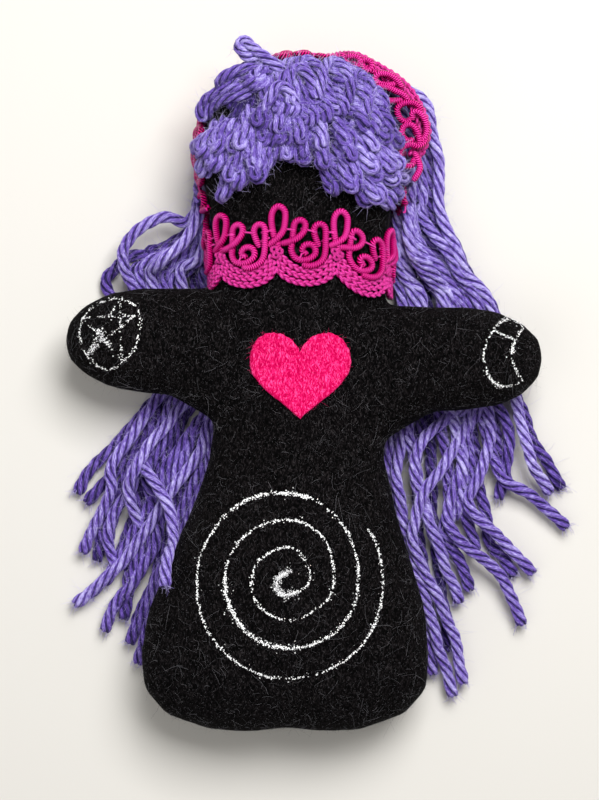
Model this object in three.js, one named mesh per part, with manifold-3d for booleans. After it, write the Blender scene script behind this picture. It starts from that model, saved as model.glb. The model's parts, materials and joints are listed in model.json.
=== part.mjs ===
// A faceless spirit doll of black felt, lying on its back, with yarn hair, lace trims and a felt heart.
// Millimetres. +Z is up from the table, +Y is towards the head. Left and right are as seen from the front.
// The origin is on the flat that the doll rests on, under the belly.
import * as THREE from "three";
import { mergeVertices } from "three/addons/utils/BufferGeometryUtils.js";
import Module from "manifold-3d";

const wasm = await Module();
wasm.setup();

// Felt, stuffing and the gaps between pieces
const feltThickness = 1.5;
const clearance = 0.3;
const jointClearance = 0.4;
const seamHeight = 23;
const restCut = 0.5;

// Torso, from its lower edge to the neck
const baseBelowOrigin = 62.5;
const neckAboveOrigin = 94;
const baseWidth = 104.4;
const waistWidth = 61.2;
const neckWidth = 62.4;
const bellyFront = 23.5;
const chestFront = 16.5;
const neckFront = 18;
const neckBack = 18;
const baseShift = -2.5;
const headShift = 2.9;
const baseCornerLength = 24;
const baseRoundLength = 34;
const baseNotchDepth = 2.2;
const baseNotchWidth = 16;

// Head
const headTop = 180.5;
const headWidth = 72.5;
const headFront = 22.5;
const headBack = 17;
const headCrownLength = 36;
const headGrowStart = 14;
const headGrowLength = 44;
const neckOverlap = 20;
const headNodDegrees = 15;

// Arms
const leftReach = 84.6;
const rightReach = 87.8;
const leftArmHeight = 79;
const rightArmHeight = 72.4;
const armHalfWidth = 19.2;
const handHalfWidth = 16.2;
const armFront = 14;
const armBack = 11.5;
const handTaperLength = 22;
const armRootInset = 20;
const armpitFlare = 8;
const armpitDrop = 7.5;
const armHinge = 51;
const armLiftDegrees = 20;
const armBandHeight = 70;

// Heart patch
const heartWidth = 35.2;
const heartHeight = 30.4;
const heartCentre = 66;
const heartThickness = 1.4;

// Trims
const trimThickness = 2.6;
const collarTop = 122.5;
const collarLoopRise = 5;
const collarBottom = 97.4;
const collarScallopDrop = 2.8;
const collarMotifs = 8;
const collarShoulderGap = 2.5;
const bandBottom = 129;
const bandBackHeight = 12;
const bandFrontHeight = 29;
const bandLift = 2.7;

// Yarn
const yarnDiameter = 4;
const fringeHalfWidth = 38;
const fringeDropLength = 51.5;
const fringeTop = 175.5;
const fringeThickness = 4.5;
const crownThickness = 5;
const crownShift = 2.5;
const hairSheetThickness = 4;
const hairFallLength = 95;
const hairLeftWidth = 46.8;
const hairRightWidth = 65.5;
const hairLeftOffset = 31.3;
const hairRightOffset = 33.5;
const hairLeftHeight = 57.6;
const hairRightHeight = 46.8;

// Where the torso changes along its length, as shares of the way from the base to the neck
const waistShares = [0.18, 0.7];
const neckShares = [0.72, 1];
const chestShares = [0.35, 0.82];
const throatShares = [0.84, 1];
const napeShares = [0.76, 1];
const leanShares = [0.15, 0.8];

// How full a section or an end is: 2 is an ellipse, and more is squarer
const frontFullness = 2.3;
const torsoBackFullness = 3;
const headBackFullness = 2.6;
const armFullness = 2.2;
const baseCornerFullness = 2.6;
const endFullness = 2.15;

// Faceting
const torsoSides = 22;
const torsoRings = 15;
const headSides = 20;
const headRings = 11;
const armSides = 16;
const armRings = 9;
const strandSides = 5;
const strandSteps = 13;
const collarSteps = 64;
const heartSteps = 5;
const roundSegments = 48;
const farAway = 300;

const feltBlack = new THREE.MeshStandardMaterial({ color: 0x141316, roughness: 0.95, metalness: 0 });
const fibreWhite = new THREE.MeshStandardMaterial({ color: 0xe9e6df, roughness: 1, metalness: 0 });
const feltPink = new THREE.MeshStandardMaterial({ color: 0xff1f78, roughness: 0.9, metalness: 0 });
const gimpPink = new THREE.MeshStandardMaterial({ color: 0xe0188c, roughness: 0.45, metalness: 0 });
const yarnPurple = new THREE.MeshStandardMaterial({ color: 0x7b68c8, roughness: 0.9, metalness: 0 });

const mix = THREE.MathUtils.lerp;
const rise = (value, from, to) => THREE.MathUtils.smoothstep(value, from, to);
const torsoLength = baseBelowOrigin + neckAboveOrigin;
const torsoBack = seamHeight + restCut;

// Solids from three.js geometry, and back

function solid(geometry) {
  const bare = geometry.clone();
  bare.deleteAttribute("normal");
  bare.deleteAttribute("uv");
  const merged = mergeVertices(bare, 1e-4);
  return new wasm.Manifold(
    new wasm.Mesh({
      numProp: 3,
      vertProperties: new Float32Array(merged.attributes.position.array),
      triVerts: new Uint32Array(merged.index.array),
    }),
  );
}

function geometryOf(body) {
  const mesh = body.getMesh();
  const geometry = new THREE.BufferGeometry();
  geometry.setAttribute("position", new THREE.BufferAttribute(mesh.vertProperties, mesh.numProp));
  geometry.setIndex(new THREE.BufferAttribute(mesh.triVerts, 1));
  geometry.computeVertexNormals();
  return geometry;
}

function box(from, to) {
  const size = new THREE.Vector3().subVectors(to, from);
  const middle = new THREE.Vector3().addVectors(from, to).multiplyScalar(0.5);
  return solid(new THREE.BoxGeometry(size.x, size.y, size.z).translate(middle.x, middle.y, middle.z));
}

// An upright prism over a closed outline, from one height to another
function prism(points, low, high) {
  const shape = new THREE.Shape(points);
  const geometry = new THREE.ExtrudeGeometry(shape, { depth: high - low, bevelEnabled: false });
  return solid(geometry.translate(0, 0, low));
}

// A closed outline through a few chosen points, rounded between them
function roundedOutline(points, steps) {
  const curve = new THREE.SplineCurve([...points, points[0]]);
  return curve.getPoints(steps).slice(0, -1);
}

// Padded forms: rings round an axis that swell and taper, closed by a pole at each end

// The share of its full size that a form has near a rounded end
function endShare(distance, length, squareness) {
  const left = 1 - Math.min(distance / length, 1);
  return Math.pow(1 - Math.pow(left, squareness), 1 / squareness);
}

// A point of a padded section: fuller than an ellipse, with its own depth in front and behind
function sectionPoint(angle, halfWidth, front, back, fullness, backFullness) {
  const across = Math.cos(angle);
  const out = Math.sin(angle);
  const power = 2 / (out >= 0 ? fullness : backFullness);
  const wide = Math.sign(across) * halfWidth * Math.pow(Math.abs(across), power);
  const deep = Math.sign(out) * (out >= 0 ? front : back) * Math.pow(Math.abs(out), power);
  return [wide, seamHeight + deep];
}

// Rings of points joined into one closed skin; the first and last rings are single points
function skin(rings) {
  const positions = [];
  const index = [];
  const starts = rings.map((ring) => {
    const start = positions.length / 3;
    ring.forEach((point) => positions.push(point.x, point.y, point.z));
    return start;
  });
  rings.slice(1).forEach((ring, i) => {
    const below = rings[i];
    const count = Math.max(ring.length, below.length);
    for (let k = 0; k < count; k += 1) {
      const a = starts[i] + (k % below.length);
      const b = starts[i] + ((k + 1) % below.length);
      const c = starts[i + 1] + (k % ring.length);
      const d = starts[i + 1] + ((k + 1) % ring.length);
      if (below.length > 1) index.push(a, b, d);
      if (ring.length > 1) index.push(a, d, c);
    }
  });
  const geometry = new THREE.BufferGeometry();
  geometry.setAttribute("position", new THREE.Float32BufferAttribute(positions, 3));
  geometry.setIndex(index);
  return geometry;
}

// Shares along an axis, closer together at both ends
function stations(count) {
  return Array.from({ length: count + 1 }, (_, i) => (1 - Math.cos((Math.PI * i) / count)) / 2);
}

// A skin moved out along its normals by an amount, as a solid
function grown(geometry, amount) {
  const moved = geometry.clone();
  moved.computeVertexNormals();
  const place = moved.attributes.position;
  const normal = moved.attributes.normal;
  for (let i = 0; i < place.count; i += 1) {
    place.setXYZ(
      i,
      place.getX(i) + normal.getX(i) * amount,
      place.getY(i) + normal.getY(i) * amount,
      place.getZ(i) + normal.getZ(i) * amount,
    );
  }
  return solid(moved);
}

function ringOf(count, pointAt) {
  return Array.from({ length: count }, (_, k) => pointAt((2 * Math.PI * k) / count));
}

// The torso widens from the waist to the base and reaches a little into the neck
function torsoSkin() {
  const length = torsoLength + neckOverlap;
  const rings = stations(torsoRings).map((share) => {
    const along = share * length;
    const place = along / torsoLength;
    const below = endShare(along, baseCornerLength, baseCornerFullness);
    const round = endShare(along, baseRoundLength, endFullness);
    const above = endShare(length - along, neckOverlap, endFullness);
    const waisted = mix(baseWidth, waistWidth, rise(place, ...waistShares));
    const width = waisted + rise(place, ...neckShares) * (neckWidth - waistWidth);
    const halfWidth = (width / 2) * below * above;
    const chest = mix(bellyFront, chestFront, rise(place, ...chestShares));
    const front = (chest + rise(place, ...throatShares) * (neckFront - chestFront)) * round * above;
    const back = mix(torsoBack, neckBack, rise(place, ...napeShares)) * round * above;
    const centre = mix(baseShift, headShift, rise(place, ...leanShares));
    const backFullness = mix(torsoBackFullness, headBackFullness, rise(place, ...napeShares));
    const notch = baseNotchDepth * (1 - rise(along, 0, baseCornerLength));
    const count = halfWidth > 0 ? torsoSides : 1;
    return ringOf(count, (angle) => {
      const [across, height] = sectionPoint(angle, halfWidth, front, back, frontFullness, backFullness);
      const dent = notch * Math.exp(-Math.pow((2 * across) / baseNotchWidth, 2));
      return new THREE.Vector3(centre + across, along + dent - baseBelowOrigin, height);
    });
  });
  return skin(rings.map((ring) => ring.reverse()));
}

// How far the neck has grown to the full head, at a place along the body
function headShare(along) {
  const start = neckAboveOrigin + headGrowStart;
  return rise(along, start, start + headGrowLength);
}

// The head grows from the neck and is rounded over the top
function headSkin() {
  const bottom = neckAboveOrigin - neckOverlap / 2;
  const length = headTop - bottom;
  const rings = stations(headRings).map((share) => {
    const along = share * length;
    const full = headShare(bottom + along);
    const below = endShare(along, neckOverlap / 2, endFullness);
    const above = endShare(length - along, headCrownLength, endFullness);
    const halfWidth = (mix(neckWidth, headWidth, full) / 2) * below * above;
    const front = mix(neckFront, headFront, full) * below * above;
    const back = mix(neckBack, headBack, full) * below * above;
    const count = halfWidth > 0 ? headSides : 1;
    return ringOf(count, (angle) => {
      const [across, height] = sectionPoint(angle, halfWidth, front, back, frontFullness, headBackFullness);
      return new THREE.Vector3(headShift + across, bottom + along, height);
    });
  });
  return skin(rings.map((ring) => ring.reverse()));
}

// An arm: side is -1 for left and 1 for right
function armSkin(side, reach, height) {
  const length = reach - armRootInset;
  const rings = stations(armRings).map((share) => {
    const along = share * length;
    const root = 1 - rise(along, 0, armHinge - armRootInset);
    const tip = endShare(length - along, handTaperLength, endFullness);
    const start = endShare(along, armRootInset / 4, endFullness);
    const ends = tip * start;
    const full = mix(armHalfWidth, handHalfWidth, rise(along, length / 2, length));
    const halfWidth = (full + armpitFlare * root) * ends;
    const centre = height - armpitDrop * root;
    const count = halfWidth > 0 ? armSides : 1;
    return ringOf(count, (angle) => {
      const [across, up] = sectionPoint(angle, halfWidth, armFront * ends, armBack * ends, armFullness, armFullness);
      return new THREE.Vector3(headShift + side * (armRootInset + along), centre + across, up);
    });
  });
  return skin(side > 0 ? rings : rings.map((ring) => ring.reverse()));
}

const torsoForm = torsoSkin();
const headForm = headSkin();
const armForms = {
  left: armSkin(-1, leftReach, leftArmHeight),
  right: armSkin(1, rightReach, rightArmHeight),
};

// The whole padded body, grown by an amount
function bodyGrown(amount) {
  return [headForm, armForms.left, armForms.right].reduce(
    (whole, form) => whole.add(grown(form, amount)),
    grown(torsoForm, amount),
  );
}

const bodyOuter = bodyGrown(0);
const bodyInner = bodyGrown(-feltThickness);
const bodyCore = bodyGrown(-feltThickness - clearance);

// Where the body bends: rollers round the neck and shoulder lines, as wide as the bend's range asks

const neckRoller = neckFront / Math.cos(THREE.MathUtils.degToRad(headNodDegrees));
const armRoller = armFront / Math.cos(THREE.MathUtils.degToRad(armLiftDegrees));

function headRegion(extra) {
  const half = neckWidth / 2 + clearance + extra;
  const roller = new THREE.CylinderGeometry(neckRoller + extra, neckRoller + extra, 2 * half, roundSegments);
  roller.rotateZ(Math.PI / 2).translate(headShift, neckAboveOrigin, seamHeight);
  const upper = box(
    new THREE.Vector3(headShift - half, neckAboveOrigin - extra, -farAway),
    new THREE.Vector3(headShift + half, neckAboveOrigin + armHalfWidth, farAway),
  );
  const above = box(
    new THREE.Vector3(-farAway, neckAboveOrigin + armHalfWidth, -farAway),
    new THREE.Vector3(farAway, farAway, farAway),
  );
  return solid(roller).add(upper).add(above);
}

function armRegion(side, height, extra) {
  const centre = headShift + side * armHinge;
  const roller = new THREE.CylinderGeometry(armRoller + extra, armRoller + extra, armBandHeight, roundSegments);
  roller.translate(centre, height, seamHeight);
  const inner = centre - side * extra;
  const outer = centre + side * farAway;
  const beyond = box(
    new THREE.Vector3(Math.min(inner, outer), height - armBandHeight / 2, -farAway),
    new THREE.Vector3(Math.max(inner, outer), height + armBandHeight / 2, farAway),
  );
  return solid(roller).add(beyond);
}

const torsoCut = headRegion(jointClearance)
  .add(armRegion(-1, leftArmHeight, jointClearance))
  .add(armRegion(1, rightArmHeight, jointClearance));
const aboveTable = box(
  new THREE.Vector3(-farAway, -farAway, 0),
  new THREE.Vector3(farAway, farAway, farAway),
);
const frontHalf = box(
  new THREE.Vector3(-farAway, -farAway, seamHeight + clearance / 2),
  new THREE.Vector3(farAway, farAway, farAway),
);
const backHalf = box(
  new THREE.Vector3(-farAway, -farAway, -farAway),
  new THREE.Vector3(farAway, farAway, seamHeight - clearance / 2),
);

const bodySkin = bodyOuter.subtract(bodyInner);
const limbs = {
  torso: (whole) => whole.subtract(torsoCut).intersect(aboveTable),
  head: (whole) => whole.intersect(headRegion(0)),
  left_arm: (whole) => whole.intersect(armRegion(-1, leftArmHeight, 0)),
  right_arm: (whole) => whole.intersect(armRegion(1, rightArmHeight, 0)),
};

const doll = new THREE.Group();

function addPiece(name, body, material) {
  const mesh = new THREE.Mesh(geometryOf(body), material);
  mesh.name = name;
  doll.add(mesh);
}

Object.entries(limbs).forEach(([name, part]) => {
  const felt = part(bodySkin);
  addPiece(`${name}_front_felt`, felt.intersect(frontHalf), feltBlack);
  addPiece(`${name}_back_felt`, felt.intersect(backHalf), feltBlack);
  addPiece(`${name}_stuffing`, part(bodyCore), fibreWhite);
});

// Heart patch, laid on the chest

// Half of the heart from its notch to its tip: shares of its half width and of its height, from the top
const heartNotchShare = 0.22;
const heartShares = [
  [[0.14, 0.04], [0.34, 0], [0.56, 0]],
  [[0.82, 0], [1, 0.15], [1, 0.34]],
  [[1, 0.6], [0.4, 0.76], [0, 1]],
];

function heartOutline() {
  const top = heartCentre + heartHeight / 2;
  const half = new THREE.Path();
  half.moveTo(0, top - heartHeight * heartNotchShare);
  heartShares.forEach((run) => {
    const places = run.map(([out, down]) => [(heartWidth / 2) * out, top - heartHeight * down]);
    half.bezierCurveTo(...places.flat());
  });
  const right = half.getPoints(heartSteps);
  const left = right.slice(1, -1).reverse();
  return [
    ...right.map((point) => new THREE.Vector2(headShift + point.x, point.y)),
    ...left.map((point) => new THREE.Vector2(headShift - point.x, point.y)),
  ];
}

const heart = prism(heartOutline(), seamHeight, seamHeight + farAway)
  .intersect(bodyGrown(clearance + heartThickness))
  .subtract(bodyGrown(clearance));
addPiece("heart_patch", heart, feltPink);

// Collar trim: a lace band round the neck, with scallops below and loops above

function neckPoint(angle, along, out) {
  const full = headShare(along);
  const halfWidth = mix(neckWidth, headWidth, full) / 2 + out;
  const front = mix(neckFront, headFront, full) + out;
  const back = mix(neckBack, headBack, full) + out;
  const [across, height] = sectionPoint(angle, halfWidth, front, back, frontFullness, headBackFullness);
  return new THREE.Vector3(headShift + across, along, height);
}

// How high the lace's loops stand over one motif, as shares of their rise
const loopShares = [1, 0.45, 0.55, 0];

function collarSkin() {
  const inner = clearance;
  const outer = clearance + trimThickness;
  const middle = (collarTop + collarBottom) / 2;
  const rows = [
    (scallop) => [collarBottom - scallop, inner],
    () => [middle, inner],
    (scallop, loop) => [collarTop + loop, inner],
    (scallop, loop) => [collarTop + loop, outer],
    () => [middle, outer],
    (scallop) => [collarBottom - scallop, outer],
  ];
  const rings = Array.from({ length: collarSteps }, (_, k) => {
    const turn = k / collarSteps;
    const within = (turn * collarMotifs) % 1;
    const scallop = collarScallopDrop * Math.sqrt(Math.sin(Math.PI * within));
    const step = within * (loopShares.length - 1);
    const loopShare = mix(loopShares[Math.floor(step)], loopShares[Math.floor(step) + 1], step % 1);
    const loop = collarLoopRise * loopShare;
    return rows.map((row) => {
      const [along, out] = row(scallop, loop);
      return neckPoint(2 * Math.PI * turn, along, out);
    });
  });
  return closedRing(rings);
}

// Sections joined one after another into a ring
function closedRing(sections) {
  const count = sections[0].length;
  const positions = sections.flat().flatMap((point) => [point.x, point.y, point.z]);
  const index = [];
  sections.forEach((_, i) => {
    const next = (i + 1) % sections.length;
    for (let k = 0; k < count; k += 1) {
      const after = (k + 1) % count;
      const [a, b] = [i * count + k, i * count + after];
      const [c, d] = [next * count + k, next * count + after];
      index.push(a, c, d, a, d, b);
    }
  });
  const geometry = new THREE.BufferGeometry();
  geometry.setAttribute("position", new THREE.Float32BufferAttribute(positions, 3));
  geometry.setIndex(index);
  return geometry;
}

const collar = solid(collarSkin())
  .subtract(grown(armForms.left, collarShoulderGap))
  .subtract(grown(armForms.right, collarShoulderGap));
addPiece("collar_trim", collar, gimpPink);

// Head band trim: round the rim of the head, and turned to the front at the upper right

function headGrown(amount, shift) {
  return grown(headForm, amount).translate([shift, 0, 0]);
}

// A point in shares of the fringe's half width and drop, from its top centre
function fringePoint([across, down]) {
  return new THREE.Vector2(headShift + across * fringeHalfWidth, fringeTop - down * fringeDropLength);
}

const bandFaceShares = [
  [0.42, -0.16], [0.5, 0.08], [0.72, 0.17], [0.9, 0.32], [0.97, 0.55], [1, 0.76],
  [1.24, 0.76], [1.34, 0.4], [1.2, 0.08], [0.9, -0.16],
];
const bandFace = bandFaceShares.map(fringePoint);
const bandFaceGrown = bandFaceShares.map(([across, down]) => {
  const step = clearance / fringeHalfWidth;
  return fringePoint([across - (across < 1 ? 2 * step : 0), down + (down > 0 ? 2 * step : 0)]);
});
const bandRing = box(
  new THREE.Vector3(-farAway, bandBottom, bandBackHeight),
  new THREE.Vector3(farAway, farAway, bandFrontHeight),
);
const bandTurned = prism(bandFace, bandFrontHeight - clearance, farAway);
const band = headGrown(bandLift + clearance + trimThickness, bandLift)
  .subtract(headGrown(bandLift + clearance, bandLift))
  .intersect(bandRing.add(bandTurned));
addPiece("head_band_trim", band, gimpPink);

// Fringe: three tiers of folded yarn loops, each laid on the one below

const fringeShares = {
  lower: [
    [-0.35, 0.01], [0.36, 0], [0.47, 0.1], [0.68, 0.23], [0.86, 0.37], [0.93, 0.6], [0.95, 0.8], [1.05, 0.97],
    [0.77, 0.98], [0.45, 0.9], [0.32, 0.79], [0, 0.68], [-0.29, 0.68], [-0.38, 0.83], [-0.55, 0.89],
    [-0.77, 0.88], [-0.93, 0.77], [-0.97, 0.6], [-0.93, 0.4], [-0.82, 0.23], [-0.64, 0.1],
  ],
  middle: [
    [-0.33, 0.02], [0.36, 0.01], [0.5, 0.13], [0.7, 0.26], [0.86, 0.4], [0.88, 0.56], [0.63, 0.6], [0.27, 0.55],
    [-0.09, 0.47], [-0.41, 0.5], [-0.73, 0.54], [-0.85, 0.45], [-0.82, 0.3], [-0.67, 0.13],
  ],
  upper: [
    [-0.27, 0.02], [0.32, 0.02], [0.52, 0.16], [0.68, 0.28], [0.7, 0.39], [0.4, 0.35], [0.09, 0.27],
    [-0.27, 0.3], [-0.54, 0.37], [-0.65, 0.3], [-0.58, 0.14],
  ],
};
const fringeFloor = bandFrontHeight + clearance;
const fringeBottom = box(
  new THREE.Vector3(-farAway, -farAway, -farAway),
  new THREE.Vector3(farAway, collarTop + collarLoopRise + clearance, farAway),
);
const bandKeepClear = prism(bandFaceGrown, seamHeight, farAway);
Object.entries(fringeShares).forEach(([tier, shares], i) => {
  const low = clearance + i * (fringeThickness + clearance);
  const outline = roundedOutline(shares.map(fringePoint), 2 * shares.length);
  const layer = headGrown(low + fringeThickness, 0)
    .subtract(headGrown(low, 0))
    .intersect(prism(outline, fringeFloor, farAway))
    .subtract(bandKeepClear)
    .subtract(fringeBottom);
  addPiece(`fringe_${tier}_tier`, layer, yarnPurple);
});

// Hair crown: the yarn laid over the back of the head

const crownBox = box(
  new THREE.Vector3(-farAway, bandBottom, -farAway),
  new THREE.Vector3(farAway, farAway, bandBackHeight - clearance),
);
const crown = headGrown(crownThickness, crownShift).subtract(headGrown(clearance, 0)).intersect(crownBox);
addPiece("hair_crown", crown, yarnPurple);

// Yarn strands: tubes with slightly drawn-in ends

function strandSolid(points) {
  const curve = new THREE.CatmullRomCurve3(points);
  const up = new THREE.Vector3(0, 0, 1);
  const rings = Array.from({ length: strandSteps + 1 }, (_, i) => {
    const centre = curve.getPoint(i / strandSteps);
    const ahead = curve.getTangent(i / strandSteps);
    const side = new THREE.Vector3().crossVectors(ahead, up).normalize();
    const over = new THREE.Vector3().crossVectors(side, ahead);
    return ringOf(strandSides, (angle) =>
      centre
        .clone()
        .addScaledVector(side, (Math.cos(angle) * yarnDiameter) / 2)
        .addScaledVector(over, (Math.sin(angle) * yarnDiameter) / 2),
    );
  });
  const ends = [points[0], points[points.length - 1]];
  return solid(skin([[ends[0]], ...rings, [ends[1]]].map((ring) => ring.slice().reverse())));
}

const sheetTop = clearance + hairSheetThickness;
const layerHeight = sheetTop + clearance + yarnDiameter / 2;
const sides = {
  left: { sign: -1, start: hairLeftOffset, height: hairLeftHeight, spread: hairLeftWidth },
  right: { sign: 1, start: hairRightOffset, height: hairRightHeight, spread: hairRightWidth },
};

// A place in the hair of one side: shares of its spread and its fall, from the armpit outwards and down
function hairPlace(side, [out, down]) {
  const { sign, start, height, spread } = sides[side];
  return new THREE.Vector2(sign * (start + out * spread), height - down * hairFallLength);
}

// The lower layer of hair on each side: strands side by side, from the neck to their ends
const hairSheetShares = {
  left: [
    [0.1, -0.72], [0.22, -0.66], [0.34, -0.58], [0.46, -0.48], [0.56, -0.36], [0.58, 0], [0.78, 0.22], [0.94, 0.36],
    [0.9, 0.5], [0.94, 0.72], [0.76, 0.82], [0.62, 0.84], [0.52, 0.95], [0.4, 0.8], [0.06, 0.6], [-0.18, 0.3],
    [-0.24, 0.1], [-0.24, -0.2], [0, -0.5],
  ],
  right: [
    [0.2, -0.84], [0.32, -0.8], [0.4, -0.66], [0.5, -0.5], [0.56, -0.4], [0.74, -0.1], [0.88, 0.14], [0.96, 0.32],
    [0.8, 0.5], [0.74, 0.66], [0.5, 0.6], [0.44, 0.84], [0.34, 0.94], [0.26, 0.86], [0.06, 0.6], [-0.08, 0.34],
    [-0.16, 0.1], [-0.2, -0.2], [0.04, -0.5],
  ],
};
const hairClear = bodyGrown(clearance)
  .add(headGrown(trimThickness + 2 * clearance, 0))
  .add(headGrown(crownThickness + clearance, crownShift));

Object.entries(hairSheetShares).forEach(([side, shares]) => {
  const places = shares.map((share) => hairPlace(side, share));
  const outline = roundedOutline(places, 2 * places.length);
  const sheet = prism(outline, clearance, sheetTop).subtract(hairClear);
  addPiece(`hair_lower_layer_${side}`, sheet, yarnPurple);
});

// The upper layer: single strands, each from beside the head, behind the arm and out to its cut end
const strandShares = {
  left: [
    [[0.16, -0.68], [0.35, -0.71], [0.55, -0.66], [0.66, -0.58], [0.6, -0.44], [0.55, -0.1], [0.62, 0.14], [0.98, 0.35]],
    [[0.16, -0.62], [0.4, -0.58], [0.5, -0.5], [0.5, -0.4], [0.43, -0.1], [0.55, 0.2], [0.98, 0.57]],
    [[0.12, -0.56], [0.3, -0.5], [0.4, -0.4], [0.34, -0.1], [0.43, 0.22], [0.8, 0.55], [0.99, 0.78]],
    [[0.12, -0.49], [0.24, -0.44], [0.3, -0.36], [0.23, -0.1], [0.31, 0.22], [0.62, 0.6], [0.78, 0.87]],
    [[0.13, -0.42], [0.21, -0.35], [0.12, -0.1], [0.18, 0.22], [0.44, 0.6], [0.63, 0.92]],
    [[0.09, -0.31], [0.01, -0.1], [0.05, 0.2], [0.23, 0.56], [0.44, 0.86], [0.51, 1]],
  ],
  right: [
    [[0.28, -1.12], [0.36, -0.97], [0.39, -0.83], [0.47, -0.68], [0.57, -0.5], [0.73, -0.14], [0.86, 0.08], [0.93, 0.19]],
    [[0.28, -0.83], [0.35, -0.68], [0.46, -0.5], [0.62, -0.14], [0.74, 0.13], [0.86, 0.29], [1, 0.39]],
    [[0.18, -0.86], [0.27, -0.7], [0.38, -0.5], [0.52, -0.14], [0.62, 0.14], [0.81, 0.54]],
    [[0.17, -0.74], [0.23, -0.64], [0.31, -0.5], [0.42, -0.14], [0.5, 0.16], [0.63, 0.46], [0.74, 0.73]],
    [[0.15, -0.67], [0.24, -0.5], [0.32, -0.14], [0.38, 0.18], [0.46, 0.6]],
    [[0.14, -0.58], [0.17, -0.47], [0.22, -0.14], [0.27, 0.2], [0.36, 0.6], [0.42, 0.95]],
    [[0.1, -0.46], [0.12, -0.14], [0.16, 0.2], [0.25, 0.56], [0.33, 0.98]],
    [[0.03, -0.2], [0.05, 0.1], [0.12, 0.44], [0.22, 0.93]],
  ],
};
Object.entries(strandShares).forEach(([side, strands]) => {
  strands.forEach((shares, i) => {
    const points = shares.map((share) => {
      const place = hairPlace(side, share);
      return new THREE.Vector3(place.x, place.y, layerHeight);
    });
    addPiece(`hair_strand_${side}_${i + 1}`, strandSolid(points), yarnPurple);
  });
});

// One strand on the left lies over the others and up on the side of the body
const frontStrandShares = [
  [0.42, 0.2, 0.262], [0.44, 0.27, 0.275], [0.39, 0.36, 0.36], [0.3, 0.46, 0.58], [0.24, 0.55, 0.8], [0.24, 0.62, 0.9],
  [0.27, 0.7, 0.93],
];
const frontStrandTop = seamHeight + bellyFront - yarnDiameter;
const frontStrand = frontStrandShares.map(([out, down, up]) => {
  const place = hairPlace("left", [out, down]);
  return new THREE.Vector3(place.x, place.y, frontStrandTop * up);
});
addPiece("hair_strand_front", strandSolid(frontStrand), yarnPurple);

// One fringe loop stands off the top of the head
const strayShares = [[-0.37, 0, 0.95], [-0.45, -0.07, 0.93], [-0.54, -0.15, 0.86]];
const strayLoop = strayShares.map(([across, down, up]) => {
  const place = fringePoint([across, down]);
  return new THREE.Vector3(place.x, place.y, (seamHeight + headFront) * up);
});
addPiece("fringe_stray_loop", strandSolid(strayLoop), yarnPurple);

export default doll;
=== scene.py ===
"""Looks of a felt spirit doll: wool body, yarn hair and fringe, looped trims, a heart and chalk marks."""

import json
import logging
import math
from collections.abc import Callable, Iterable
from dataclasses import dataclass, field
from enum import Enum
from functools import cache

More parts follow.
